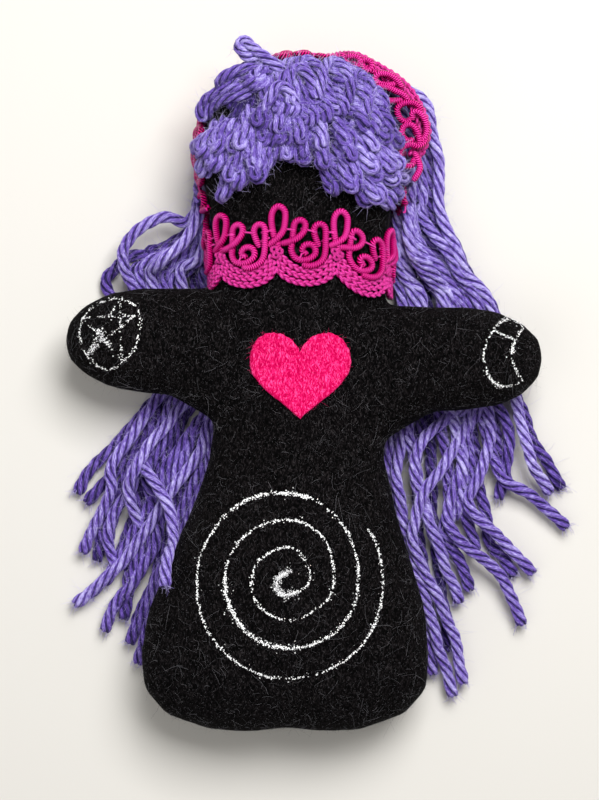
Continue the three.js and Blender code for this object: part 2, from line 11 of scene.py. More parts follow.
import bpy
import numpy as np
from mathutils import Vector, noise
from mathutils.bvhtree import BVHTree
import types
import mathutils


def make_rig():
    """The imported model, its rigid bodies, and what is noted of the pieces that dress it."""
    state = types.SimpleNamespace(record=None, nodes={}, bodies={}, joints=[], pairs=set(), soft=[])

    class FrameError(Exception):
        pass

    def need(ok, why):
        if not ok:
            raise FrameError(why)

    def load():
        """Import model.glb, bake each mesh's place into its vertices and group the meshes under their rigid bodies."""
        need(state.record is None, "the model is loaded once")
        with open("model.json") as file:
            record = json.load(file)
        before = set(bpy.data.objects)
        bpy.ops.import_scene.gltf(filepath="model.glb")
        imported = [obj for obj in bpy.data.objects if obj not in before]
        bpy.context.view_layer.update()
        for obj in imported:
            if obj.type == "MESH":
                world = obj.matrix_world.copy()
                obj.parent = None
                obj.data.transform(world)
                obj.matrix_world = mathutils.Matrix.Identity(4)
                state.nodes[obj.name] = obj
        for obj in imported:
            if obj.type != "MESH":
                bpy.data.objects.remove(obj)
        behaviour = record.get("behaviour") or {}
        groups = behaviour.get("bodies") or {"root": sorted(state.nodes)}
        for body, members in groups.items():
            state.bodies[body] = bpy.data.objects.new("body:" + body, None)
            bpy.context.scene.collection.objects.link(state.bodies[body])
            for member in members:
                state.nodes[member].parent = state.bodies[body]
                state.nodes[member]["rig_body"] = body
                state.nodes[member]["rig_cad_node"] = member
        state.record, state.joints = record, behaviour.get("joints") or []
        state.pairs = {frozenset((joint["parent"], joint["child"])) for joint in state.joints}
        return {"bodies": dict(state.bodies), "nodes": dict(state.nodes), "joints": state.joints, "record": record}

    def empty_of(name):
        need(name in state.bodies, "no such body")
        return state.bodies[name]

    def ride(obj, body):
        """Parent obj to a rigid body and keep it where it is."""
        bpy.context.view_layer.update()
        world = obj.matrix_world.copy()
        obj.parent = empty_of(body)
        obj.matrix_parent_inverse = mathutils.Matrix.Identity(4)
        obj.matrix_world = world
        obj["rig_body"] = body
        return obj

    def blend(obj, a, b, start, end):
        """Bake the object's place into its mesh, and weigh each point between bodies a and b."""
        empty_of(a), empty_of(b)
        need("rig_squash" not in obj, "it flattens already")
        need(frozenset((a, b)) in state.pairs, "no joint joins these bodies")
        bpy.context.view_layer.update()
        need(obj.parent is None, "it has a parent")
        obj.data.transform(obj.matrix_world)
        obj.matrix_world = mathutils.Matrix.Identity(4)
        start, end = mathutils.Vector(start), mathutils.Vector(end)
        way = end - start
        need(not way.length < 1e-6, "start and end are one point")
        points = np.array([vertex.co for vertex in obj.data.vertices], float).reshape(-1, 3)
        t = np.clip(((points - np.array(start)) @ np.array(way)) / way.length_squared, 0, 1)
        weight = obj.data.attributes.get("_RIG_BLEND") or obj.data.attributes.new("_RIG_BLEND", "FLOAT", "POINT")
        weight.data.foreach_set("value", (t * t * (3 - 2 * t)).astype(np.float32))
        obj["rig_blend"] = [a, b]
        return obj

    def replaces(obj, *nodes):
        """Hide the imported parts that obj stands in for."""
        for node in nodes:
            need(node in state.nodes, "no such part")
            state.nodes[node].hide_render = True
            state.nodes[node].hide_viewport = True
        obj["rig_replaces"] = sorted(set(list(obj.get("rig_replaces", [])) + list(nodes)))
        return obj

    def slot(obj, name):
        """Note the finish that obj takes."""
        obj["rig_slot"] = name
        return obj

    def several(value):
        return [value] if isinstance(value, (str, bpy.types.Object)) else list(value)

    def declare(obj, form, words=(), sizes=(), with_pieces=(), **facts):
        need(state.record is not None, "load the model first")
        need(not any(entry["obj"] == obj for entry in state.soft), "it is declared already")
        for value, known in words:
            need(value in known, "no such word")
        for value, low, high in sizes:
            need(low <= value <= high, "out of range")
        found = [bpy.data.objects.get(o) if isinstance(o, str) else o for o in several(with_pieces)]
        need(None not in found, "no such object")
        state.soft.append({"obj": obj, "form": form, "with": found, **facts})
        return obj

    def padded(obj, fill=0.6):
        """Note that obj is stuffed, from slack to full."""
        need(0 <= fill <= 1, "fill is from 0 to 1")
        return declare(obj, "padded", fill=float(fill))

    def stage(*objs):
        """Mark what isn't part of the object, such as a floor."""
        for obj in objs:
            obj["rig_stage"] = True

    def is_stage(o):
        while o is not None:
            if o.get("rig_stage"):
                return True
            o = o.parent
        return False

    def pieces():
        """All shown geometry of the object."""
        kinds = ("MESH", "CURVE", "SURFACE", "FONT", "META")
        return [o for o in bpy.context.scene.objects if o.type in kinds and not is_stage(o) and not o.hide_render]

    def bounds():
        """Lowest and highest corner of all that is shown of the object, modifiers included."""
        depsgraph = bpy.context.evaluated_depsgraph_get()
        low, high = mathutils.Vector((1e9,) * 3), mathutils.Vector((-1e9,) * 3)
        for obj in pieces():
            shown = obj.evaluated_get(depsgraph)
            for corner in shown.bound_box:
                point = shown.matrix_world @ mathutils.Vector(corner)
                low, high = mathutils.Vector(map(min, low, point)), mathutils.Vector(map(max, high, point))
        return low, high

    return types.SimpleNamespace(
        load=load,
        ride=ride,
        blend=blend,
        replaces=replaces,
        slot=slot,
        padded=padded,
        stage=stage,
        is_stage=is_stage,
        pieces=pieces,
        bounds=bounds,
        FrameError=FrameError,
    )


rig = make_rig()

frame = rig.load()
CAD_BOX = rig.bounds()

MM = 0.001
# A loose fibre: its radii from root to tip as shares, its curl, where the curl turns, and its least height.
FIBRE_TAPER = (1.0, 1.0, 0.9, 0.5)
FIBRE_CURL = (0.6, 2.0)
FIBRE_TURN = 0.45
FIBRE_FLOOR = 0.1
LOG = logging.getLogger("spirit_doll")
Array = np.ndarray
Piece = bpy.types.Object
Pixel = tuple[float, float]
Span = tuple[float, float]
Route = tuple[tuple[float, ...], ...]
Place = Callable[[float, float, float], Array]
Socket = bpy.types.NodeSocket


# Numbers and vectors


def traced(text: str) -> Route:
    """A route from text: spaces between its points, and commas between the numbers of each."""
    return tuple(tuple(float(number) for number in point.split(",")) for point in text.split())


def all_traced(*texts: str) -> tuple[Route, ...]:
    """Several routes from text."""
    return tuple(traced(text) for text in texts)


def linear(colour: str) -> tuple[float, float, float, float]:
    """Turns an sRGB hex colour to linear light.

    Args:
        colour: Six hex digits, red first.

    Returns:
        Linear red, green, blue and a full alpha.
    """
    shares = [int(colour[i : i + 2], 16) / 255 for i in (0, 2, 4)]
    red, green, blue = [s / 12.92 if s <= 0.04045 else ((s + 0.055) / 1.055) ** 2.4 for s in shares]
    return red, green, blue, 1.0


def smoothstep(value: Array, low: float, high: float) -> Array:
    """Rises smoothly from 0 at low to 1 at high."""
    share = np.clip((np.asarray(value, float) - low) / (high - low), 0, 1)
    return share * share * (3 - 2 * share)


def end_share(distance: float, reach: float, power: float) -> float:
    """How wide a rounded end is at a distance from its tip, as a share of its full width."""
    left = min(max(1 - distance / reach, 0), 1)
    return (1 - left**power) ** (1 / power)


def unit(vectors: Array) -> Array:
    """Each vector at length one."""
    lengths = np.linalg.norm(vectors, axis=-1, keepdims=True)
    return vectors / np.maximum(lengths, 1e-9)


def around(count: int) -> Array:
    """Evenly spaced angles round a circle, in radians."""
    return np.arange(count) * 2 * math.pi / count


def distances(points: Array) -> Array:
    """How far along a line each of its points is."""
    return np.concatenate([[0], np.cumsum(np.linalg.norm(np.diff(points, axis=0), axis=1))])


def spaced(points: Array, step: float) -> Array:
    """Spaces points evenly along the line through the given ones.

    Args:
        points: The line's corners, one a row.
        step: The distance wanted between neighbours.

    Returns:
        The new points, with both ends kept.
    """
    lengths = distances(points)
    count = max(3, round(lengths[-1] / step))
    at = np.linspace(0, lengths[-1], count + 1)
    return np.column_stack([np.interp(at, lengths, column) for column in points.T])


def rounded(points: Iterable[Iterable[float]], step: float) -> Array:
    """Rounds a route of a few points into an even curve through them.

    Args:
        points: The points that the curve passes through.
        step: The distance wanted between the new points.

    Returns:
        The points of the curve.
    """
    given = np.array([list(p) for p in points], float)
    padded = np.vstack([2 * given[0] - given[1], given, 2 * given[-1] - given[-2]])
    t = np.linspace(0, 1, 12, endpoint=False)[:, None]
    runs = []
    for a, b, c, d in zip(padded, padded[1:], padded[2:], padded[3:]):
        run = 2 * b + (c - a) * t + (2 * a - 5 * b + 4 * c - d) * t**2 + (3 * b - a - 3 * c + d) * t**3
        runs.append(run / 2)
    return spaced(np.vstack([*runs, given[-1:]]), step)


def frames_along(route: Array, hint: Array = np.array([0.0, 0.0, 1.0])) -> tuple[Array, Array, Array]:
    """Carries a frame along a route without needless twist.

    Args:
        route: The points of the route.
        hint: The first normal stands square to this direction.

    Returns:
        Tangents, normals and binormals, one a point.
    """
    tangents = unit(np.gradient(route, axis=0))
    first = np.cross(tangents[0], hint)
    if np.linalg.norm(first) < 0.1:
        first = np.cross(tangents[0], [1.0, 0.3, 0.0])
    normals = [unit(first)]
    for tangent in tangents[1:]:
        last = normals[-1]
        normals.append(unit(last - tangent * np.dot(last, tangent)))
    made = np.array(normals)
    return tangents, made, np.cross(tangents, made)


# Meshes


def placed(name: str, data: bpy.types.ID) -> Piece:
    """A new object with its data, linked to the scene."""
    made = bpy.data.objects.new(name, data)
    bpy.context.scene.collection.objects.link(made)
    return made


def ring_faces(rings: int, sides: int) -> tuple[Array, Array, Array]:
    """Joins rings of points by faces of four corners.

    Args:
        rings: How many rings.
        sides: How many points each has.

    Returns:
        The faces, and the ring and the point that each starts from.
    """
    ring, side = (grid.ravel() for grid in np.meshgrid(np.arange(rings - 1), np.arange(sides), indexing="ij"))
    low, high, after = ring * sides, (ring + 1) * sides, (side + 1) % sides
    return np.column_stack([low + side, low + after, high + after, high + side]), ring, side


@dataclass
class MeshPile:
    """Small forms gathered into one mesh, in millimetres."""

    points: list[Array] = field(default_factory=list)
    faces: list[Array] = field(default_factory=list)
    coords: list[Array] = field(default_factory=list)
    tints: list[Array] = field(default_factory=list)
    count: int = 0

    def add(self, points: Array, faces: list[Array], coords: list[Array], tint: float | Array) -> None:
        """Adds one form.

        Args:
            points: Its points.
            faces: Arrays of faces, each with its own number of corners.
            coords: Surface coordinates of every corner, in millimetres, one array for each of faces.
            tint: How light it is, from 0 to 1, for all points or each.
        """
        self.points.append(points)
        self.faces.extend(f + self.count for f in faces)
        self.coords.extend(coords)
        self.tints.append(np.broadcast_to(np.asarray(tint, float), (len(points),)))
        self.count += len(points)

    def add_tube(self, route: Array, radius: float | Array, sides: int, tint: float | Array = 0.5,
                 across: tuple[Array, Array] | None = None) -> None:
        """Adds a round thread along a route, closed at both ends.

        Args:
            route: The points of its centreline.
            radius: Its radius, for all points or each.
            sides: How many sides its section has.
            tint: How light it is, from 0 to 1, for all, each ring or each point.
            across: Two directions square to the route at each point, or None to carry a frame along.
        """
        first, second = frames_along(route)[1:] if across is None else across
        rings = len(route)
        radii = np.broadcast_to(np.asarray(radius, float), (rings,))
        angles = around(sides)
        flat = np.column_stack([np.cos(angles), np.sin(angles)])
        outwards = flat[None, :, :1] * first[:, None] + flat[None, :, 1:] * second[:, None]
        points = (route[:, None] + radii[:, None, None] * outwards).reshape(-1, 3)
        quads, ring, side = ring_faces(rings, sides)
        along = distances(route)
        width = 2 * math.pi * radii.mean() / sides
        u = np.column_stack([side, side + 1, side + 1, side]) * width
        v = np.column_stack([along[ring], along[ring], along[ring + 1], along[ring + 1]])
        ends = np.array([np.arange(sides)[::-1], (rings - 1) * sides + np.arange(sides)])
        caps = radii.mean() * np.stack([flat, flat])
        tint = np.repeat(tint, sides) if np.ndim(tint) == 1 else np.ravel(tint)
        self.add(points, [quads, ends], [np.stack([u, v], axis=-1), caps], tint)

    def build(self, name: str, material: bpy.types.Material) -> Piece:
        """Makes the object, in metres.

        Args:
            name: Its name.
            material: Its finish.

        Returns:
            The new object, smooth shaded and linked to the scene.
        """
        mesh = bpy.data.meshes.new(name)
        points = np.vstack(self.points) * MM
        loops = np.concatenate([f.ravel() for f in self.faces])
        sizes = np.concatenate([np.full(len(f), f.shape[1]) for f in self.faces])
        mesh.vertices.add(len(points))
        mesh.vertices.foreach_set("co", points.astype(np.float32).ravel())
        mesh.loops.add(len(loops))
        mesh.loops.foreach_set("vertex_index", loops.astype(np.int32))
        mesh.polygons.add(len(sizes))
        starts = np.concatenate([[0], np.cumsum(sizes)[:-1]])
        mesh.polygons.foreach_set("loop_start", starts.astype(np.int32))
        mesh.update(calc_edges=True)
        layer = mesh.uv_layers.new(name="surface")
        uvs = np.concatenate([c.reshape(-1, 2) for c in self.coords])
        layer.data.foreach_set("uv", uvs.astype(np.float32).ravel())
        tint = mesh.attributes.new("tint", "FLOAT", "POINT")
        tint.data.foreach_set("value", np.concatenate(self.tints).astype(np.float32))
        mesh.shade_smooth()
        mesh.materials.append(material)
        return placed(name, mesh)


# Node trees


def add(tree: bpy.types.NodeTree, kind: str, values: dict[str, object] | None = None,
        links: dict[str, Socket] | None = None) -> bpy.types.Node:
    """Adds one node to a tree.

    Args:
        tree: The tree that gets it.
        kind: Its Blender type name, without the first two words.
        values: Sockets or settings and what they are set to.
        links: Input sockets and what feeds each.

    Returns:
        The new node.
    """
    node = tree.nodes.new(f"ShaderNode{kind}")
    for name, value in (values or {}).items():
        if name.isdigit():
            node.inputs[int(name)].default_value = value
        elif name in node.inputs:
            node.inputs[name].default_value = value
        else:
            setattr(node, name, value)
    for name, source in (links or {}).items():
        socket = node.inputs[int(name)] if name.isdigit() else node.inputs[name]
        tree.links.new(source, socket)
    return node


# Finishes


@dataclass(frozen=True)
class Surface:
    """What all finishes share. The pattern runs through the colours, and stands up by the bump."""

    name: str
    colours: tuple[str, ...]
    stops: tuple[float, ...]
    bump: float = 0.0
    bump_height: float = 0.3

    def evens(self) -> dict[str, object]:
        """Sockets of the shader that are the same all over, and what each is set to."""
        raise NotImplementedError

    def pattern(self, tree: bpy.types.NodeTree) -> tuple[Socket, Socket]:
        """Makes the pattern.

        Args:
            tree: The material's tree.

        Returns:
            How light each spot is, and how high.
        """
        raise NotImplementedError

    def material(self) -> bpy.types.Material:
        """Makes the finish.

        Returns:
            The material.
        """
        material = bpy.data.materials.new(self.name)
        material.use_nodes = True
        tree = material.node_tree
        shader = tree.nodes["Principled BSDF"]
        for socket, value in self.evens().items():
            shader.inputs[socket].default_value = value
        light, height = self.pattern(tree)
        if self.stops:
            ramp = add(tree, "ValToRGB", None, {"Fac": light})
            elements = ramp.color_ramp.elements
            while len(elements) < len(self.stops):
                elements.new(0.5)
            for element, place, colour in zip(elements, self.stops, self.colours):
                element.position = place
                element.color = linear(colour)
            tree.links.new(ramp.outputs["Color"], shader.inputs["Base Color"])
        if self.bump:
            raised = add(tree, "Bump", {"Strength": self.bump, "Distance": self.bump_height * MM},
                         {"Height": height})
            tree.links.new(raised.outputs["Normal"], shader.inputs["Normal"])
        return material


@dataclass(frozen=True)
class WoolFelt(Surface):
    """Wool felt, matted from fine fibres: a soft matt cloth with no weave. The fibres cross at all angles."""

    bump_height: float = 0.35
    sheen: float = 0.01
    # Real fibres are 0.02 mm. They are drawn about ten times as wide, so that they show in the render.
    fibre_width: float = 0.22
    fibre_turns: tuple[float, ...] = (0.3, 1.35, 2.4)
    fibre_squeeze: float = 0.28
    bend_width: float = 2.5
    bend_share: float = 0.0022
    clump_width: float = 3.2
    clump_share: float = 0.12

    def evens(self) -> dict[str, object]:
        """Matt, with a faint sheen of its lightest colour."""
        return {"Roughness": 0.95, "Specular IOR Level": 0.05, "Sheen Weight": self.sheen,
                "Sheen Roughness": 0.6, "Sheen Tint": linear(self.colours[-1])}

    def pattern(self, tree: bpy.types.NodeTree) -> tuple[Socket, Socket]:
        """Crosses fibres in three directions over soft clumps.

        Args:
            tree: The material's tree.

        Returns:
            How light each spot is, and how high.
        """
        place = add(tree, "TexCoord").outputs["Object"]
        warp = add(tree, "TexNoise", {"Scale": 1 / (self.bend_width * MM), "Detail": 1.0}, {"Vector": place})
        bent = add(tree, "Mix", {"data_type": "VECTOR", "Factor": self.bend_share},
                   {"4": place, "5": warp.outputs["Color"]}).outputs[1]
        fibres = None
        for turn in self.fibre_turns:
            turns = (turn, 0.7 * turn, 1.3 * turn)
            laid = add(tree, "Mapping", {"Rotation": turns, "Scale": (1, self.fibre_squeeze, 1)},
                       {"Vector": bent}).outputs["Vector"]
            line = add(tree, "TexNoise", {"Scale": 0.5 / (self.fibre_width * MM), "Detail": 1.5},
                       {"Vector": laid}).outputs["Fac"]
            if fibres:
                line = add(tree, "Math", {"operation": "MAXIMUM"}, {"0": fibres, "1": line}).outputs[0]
            fibres = line
        clumps = add(tree, "TexNoise", {"Scale": 1 / (self.clump_width * MM), "Detail": 4.0},
                     {"Vector": place}).outputs["Fac"]
        both = add(tree, "Mix", {"Factor": self.clump_share}, {"2": fibres, "3": clumps}).outputs[0]
        return both, both


@dataclass(frozen=True)
class SpunYarn(Surface):
    """Wool yarn, spun and plied: matt threads with fine fibres along each ply, lighter on top, as the mesh's tint
    paints shade into the grooves.
    """

    # Fibres along the ply, drawn coarser than the real 0.03 mm so that they show.
    fibre_width: float = 0.26
    fibre_length: float = 1.7
    fibre_lean: float = 0.05
    fibre_contrast: float = 1.5
    cloud_width: float = 4.5
    cloud_share: float = 0.35

    def evens(self) -> dict[str, object]:
        """Matt, with the soft sheen of wool."""
        return {"Roughness": 0.85, "Specular IOR Level": 0.2, "Sheen Weight": 0.25, "Sheen Roughness": 0.5,
                "Sheen Tint": linear(self.colours[-1])}

    def pattern(self, tree: bpy.types.NodeTree) -> tuple[Socket, Socket]:
        """Lays fibres along the ply, with wide cloudy patches and the mesh's tint, which holds each strand's tone and
        painted shade.

        Args:
            tree: The material's tree.

        Returns:
            How light each spot is, and how high.
        """
        place = add(tree, "UVMap", {"uv_map": "surface"}).outputs["UV"]
        narrow = (1 / self.fibre_width, 1 / self.fibre_length, 1)
        laid = add(tree, "Mapping", {"Scale": narrow, "Rotation": (0, 0, self.fibre_lean)},
                   {"Vector": place}).outputs["Vector"]
        fibres = add(tree, "TexNoise", {"Scale": 1.0, "Detail": 3.0, "Roughness": 0.6},
                     {"Vector": laid}).outputs["Fac"]
        strong = add(tree, "Math", {"operation": "MULTIPLY_ADD", "1": self.fibre_contrast,
                                    "2": 0.5 - 0.5 * self.fibre_contrast}, {"0": fibres}).outputs[0]
        spot = add(tree, "TexCoord").outputs["Object"]
        cloudy = add(tree, "TexNoise", {"Scale": 1 / (self.cloud_width * MM), "Detail": 3.0},
                     {"Vector": spot}).outputs["Fac"]
        # The tint holds each strand's own tone, with painted shade in the grooves and on lower strands.
        tint = add(tree, "Attribute", {"attribute_name": "tint"}).outputs["Fac"]
        mixed = add(tree, "Mix", {"Factor": self.cloud_share}, {"2": strong, "3": cloudy}).outputs[0]
        light = add(tree, "Math", {"operation": "ADD"}, {"0": mixed, "1": tint}).outputs[0]
        return add(tree, "Math", {"operation": "SUBTRACT", "1": 0.5}, {"0": light}).outputs[0], fibres


@dataclass(frozen=True)
class WrappedCord(Surface):
    """Rayon gimp, a core wrapped round with shiny thread: fine rings across the cord and a soft satin gloss.

    The real thread is about 0.4 mm wide, and is drawn coarser so that it shows.
    """

    stops: tuple[float, ...] = (0.3, 0.7, 0.96)
    bump: float = 1.0
    thread_width: float = 0.72
    lean: float = 0.35
    wear_share: float = 0.22

    def evens(self) -> dict[str, object]:
        """Glossy, with highlights of its lightest colour."""
        return {"Roughness": 0.27, "Specular IOR Level": 0.42, "Specular Tint": linear(self.colours[-1])}

    def pattern(self, tree: bpy.types.NodeTree) -> tuple[Socket, Socket]:
        """Winds rings of thread round the cord, a little worn, with the mesh's tint, which holds painted light and
        shade.

        Args:
            tree: The material's tree.

        Returns:
            How light each spot is, and how high.
        """
        place = add(tree, "UVMap", {"uv_map": "surface"}).outputs["UV"]
        laid = add(tree, "Mapping", {"Rotation": (0, 0, self.lean)}, {"Vector": place}).outputs["Vector"]
        # One wave of the texture at scale 1 is a twentieth of a turn of 2 pi.
        scale = 2 * math.pi / (20 * self.thread_width)
        rings = add(tree, "TexWave", {"wave_type": "BANDS", "bands_direction": "Y", "Scale": scale,
                                      "Distortion": 0.6, "Detail": 1.0, "Detail Scale": 3.0},
                    {"Vector": laid}).outputs["Fac"]
        worn = add(tree, "TexNoise", {"Scale": 0.8, "Detail": 3.0}, {"Vector": place}).outputs["Fac"]
        mixed = add(tree, "Mix", {"Factor": self.wear_share}, {"2": rings, "3": worn}).outputs[0]
        # The tint holds each cord's own tone, with painted shade and, on the braid, painted light.
        tint = add(tree, "Attribute", {"attribute_name": "tint"}).outputs["Fac"]
        light = add(tree, "Math", {"operation": "MULTIPLY_ADD", "1": 0.75}, {"0": mixed, "2": tint})
        return light.outputs[0], rings


@dataclass(frozen=True)
class LooseFibre(Surface):
    """Single wool fibres that stand off a surface: fine hairs that catch the light."""

    stops: tuple[float, ...] = (0.0, 1.0)

    def evens(self) -> dict[str, object]:
        """Half matt."""
        return {"Roughness": 0.6, "Specular IOR Level": 0.3}

    def pattern(self, tree: bpy.types.NodeTree) -> tuple[Socket, Socket]:
        """Each fibre has one tint."""
        tint = add(tree, "Attribute", {"attribute_name": "tint"}).outputs["Fac"]
        return tint, tint


@dataclass(frozen=True)
class DryChalk(Surface):
    """Tailor's chalk, rubbed on felt: powdery white crumbs that sit on the fibre tips and leave gaps."""

    stops: tuple[float, ...] = (0.1, 0.62)
    grain_width: float = 0.5
    grain_share: float = 0.25

    def evens(self) -> dict[str, object]:
        """Quite matt."""
        return {"Roughness": 1.0, "Specular IOR Level": 0.1}

    def pattern(self, tree: bpy.types.NodeTree) -> tuple[Socket, Socket]:
        """Mixes each crumb's tint with fine grain.

        Args:
            tree: The material's tree.

        Returns:
            How light each spot is, and how high.
        """
        tint = add(tree, "Attribute", {"attribute_name": "tint"}).outputs["Fac"]
        place = add(tree, "TexCoord").outputs["Object"]
        grain = add(tree, "TexNoise", {"Scale": 1 / (self.grain_width * MM), "Detail": 2.0},
                    {"Vector": place}).outputs["Fac"]
        mixed = add(tree, "Mix", {"Factor": self.grain_share}, {"2": tint, "3": grain}).outputs[0]
        return mixed, mixed


@dataclass(frozen=True)
class PaperSheet(Surface):
    """Matt studio paper: one even pale colour with the faintest tooth."""

    stops: tuple[float, ...] = ()
    bump: float = 0.05
    bump_height: float = 0.2
    grain_scale: float = 900.0

    def evens(self) -> dict[str, object]:
        """Matt and of one colour."""
        return {"Base Color": linear(self.colours[0]), "Roughness": 0.9}

    def pattern(self, tree: bpy.types.NodeTree) -> tuple[Socket, Socket]:
        """Gives the paper its tooth.

        Args:
            tree: The material's tree.

        Returns:
            How light each spot is, which nothing uses, and how high.
        """
        place = add(tree, "TexCoord").outputs["Object"]
        grain = add(tree, "TexNoise", {"Scale": self.grain_scale, "Detail": 2.0}, {"Vector": place})
        return grain.outputs["Fac"], grain.outputs["Fac"]


class Finish(Enum):
    """The finishes of the doll and of the floor."""

    BODY_FELT = WoolFelt("black_wool_felt", ("000000", "070506", "2C292A"), (0.48, 0.6, 0.72), 0.4)
    HEART_FELT = WoolFelt("pink_craft_felt", ("B80044", "DE1464", "FF5096"), (0.51, 0.6, 0.69), 0.5,
                          sheen=0.1)
    HAIR_YARN = SpunYarn("purple_plied_yarn", ("1A0748", "7054B6", "D2CAFF"), (0.24, 0.5, 0.78), 0.9, 0.4)
    TRIM_GIMP = WrappedCord("pink_rayon_gimp", ("3C0016", "F20082", "FF54C4"))
    BRAID_GIMP = WrappedCord("pink_rayon_braid_thread", ("2C000E", "F40084", "FF5AC8"), thread_width=0.5,
                             lean=0.9)
    LINT = LooseFibre("pale_lint_fibres", ("121114", "8E8C92"))
    YARN_FUZZ = LooseFibre("purple_loose_fibres", ("7C6AC0", "D8D0F8"))
    CHALK = DryChalk("white_tailors_chalk", ("77767C", "FFFFFF"))
    BACKDROP = PaperSheet("pale_paper_backdrop", ("D9D6D0",))

    @cache
    def material(self) -> bpy.types.Material:
        """The finish as a material, made at its first use."""
        return self.value.material()


# The photograph's view


@dataclass(frozen=True)
class DollView:
    """The camera straight above the doll, and where a pixel of its frame meets a height."""

    centre_x: float = 2.7
    centre_y: float = 57.6
    height: float = 800.0
    focus_height: float = 22.0
    scale: float = 0.36
    middle: Pixel = (299.5, 400.0)
    sensor: float = 24.0
    frame_pixels: float = 800.0

    def camera(self) -> None:
        """Places the camera and makes it the scene's."""
        data = bpy.data.cameras.new("view_from_above")
        data.sensor_fit = "VERTICAL"
        data.sensor_height = self.sensor
        data.lens = self.sensor * (self.height - self.focus_height) / (self.frame_pixels * self.scale)
        data.clip_end = 20
        camera = placed("view_from_above", data)
        camera.location = (self.centre_x * MM, self.centre_y * MM, self.height * MM)
        bpy.context.scene.camera = camera

    def at(self, pixel: Pixel, z: float) -> Array:
        """Where a pixel meets a height.

        Args:
            pixel: The pixel.
            z: The height.

        Returns:
            The point that shows there.
        """
        share = self.scale * (self.height - z) / (self.height - self.focus_height)
        x = self.centre_x + (pixel[0] - self.middle[0]) * share
        y = self.centre_y + (self.middle[1] - pixel[1]) * share
        return np.array([x, y, z])

    def route(self, pixels: Route) -> Array:
        """Points from rows of pixel x, pixel y and height."""
        return np.array([self.at((x, y), z) for x, y, z in pixels])


VIEW = DollView()


# The head's form


@dataclass(frozen=True)
class HeadForm:
    """The stuffed head and neck as a smooth form, in millimetres."""

    centre_x: float = 2.9
    seam_height: float = 23.0
    top_y: float = 180.5
    crown_reach: float = 36.0
    crown_power: float = 2.15
    head_half: float = 36.25
    head_front: float = 22.5
    head_back: float = 17.0
    neck_half: float = 31.2
    neck_front: float = 18.0
    neck_back: float = 18.0
    blend_low: float = 108.0
    blend_high: float = 152.0
    front_power: float = 2.3
    back_power: float = 2.6

    def sizes(self, y: float, grow: float) -> tuple[float, float, float]:
        """Half width, front and back depth at a station.

        Args:
            y: The station.
            grow: How far outside the felt.

        Returns:
            Half width, front depth and back depth.
        """
        share = float(smoothstep(np.array(y), self.blend_low, self.blend_high))
        crown = end_share(self.top_y + grow - y, self.crown_reach + grow, self.crown_power)
        half = self.neck_half + (self.head_half - self.neck_half) * share + grow
        front = self.neck_front + (self.head_front - self.neck_front) * share + grow
        back = self.neck_back + (self.head_back - self.neck_back) * share + grow
        return half * crown, front * crown, back * crown

    def front_height(self, x: float, y: float, grow: float = 0.0) -> float:
        """The height of the front surface at a place.

        Args:
            x: The place along X.
            y: The place along Y.
            grow: How far outside the felt.

        Returns:
            The height.
        """
        half, front, _ = self.sizes(y, grow)
        share = min(abs(x - self.centre_x) / max(half, 0.01), 1)
        return self.seam_height + front * (1 - share**self.front_power) ** (1 / self.front_power)

    def behind(self, pixel: Pixel, guess: float, grow: float, least: float = 0.0, lift: float = 0.0) -> Array:
        """The point of the front that a pixel shows, found by stepping towards it.

        Args:
            pixel: The pixel of the view.
            guess: A height near the point's.
            grow: How far outside the felt.
            least: The lowest that the surface may be.
            lift: A further height over it.

        Returns:
            The point.
        """
        z = guess
        for _ in range(3):
            near = VIEW.at(pixel, z)
            z = max(self.front_height(near[0], near[1], grow), least) + lift
        return VIEW.at(pixel, z)

    def section(self, y: float, grow: float, count: int = 240) -> Array:
        """The outline round the head at a station, from the middle of the front towards +X.

        Args:
            y: The station.
            grow: How far outside the felt.
            count: How many points.

        Returns:
            Points as rows of x, y, z.
        """
        half, front, back = self.sizes(y, grow)
        up, out = np.cos(around(count)), np.sin(around(count))
        power = np.where(up >= 0, self.front_power, self.back_power)
        size = (np.abs(up) ** power + np.abs(out) ** power) ** (-1 / power)
        depth = np.where(up >= 0, front, back)
        x = self.centre_x + half * size * out
        z = self.seam_height + depth * size * up
        return np.column_stack([x, np.full(count, y), z])

    def rim(self, angle: float, grow: float) -> Array:
        """A point on the outline seen from the front.

        Args:
            angle: Radians from +X, anticlockwise, about the middle of the crown's curve.
            grow: How far outside the felt.

        Returns:
            The point as x and y.
        """
        out, up = math.cos(angle), max(math.sin(angle), 0)
        size = (abs(out) ** self.crown_power + up**self.crown_power) ** (-1 / self.crown_power)
        x = self.centre_x + (self.head_half + grow) * size * out
        y = self.top_y - self.crown_reach + (self.crown_reach + grow) * size * up
        return np.array([x, y])


HEAD = HeadForm()


# Threads and strands


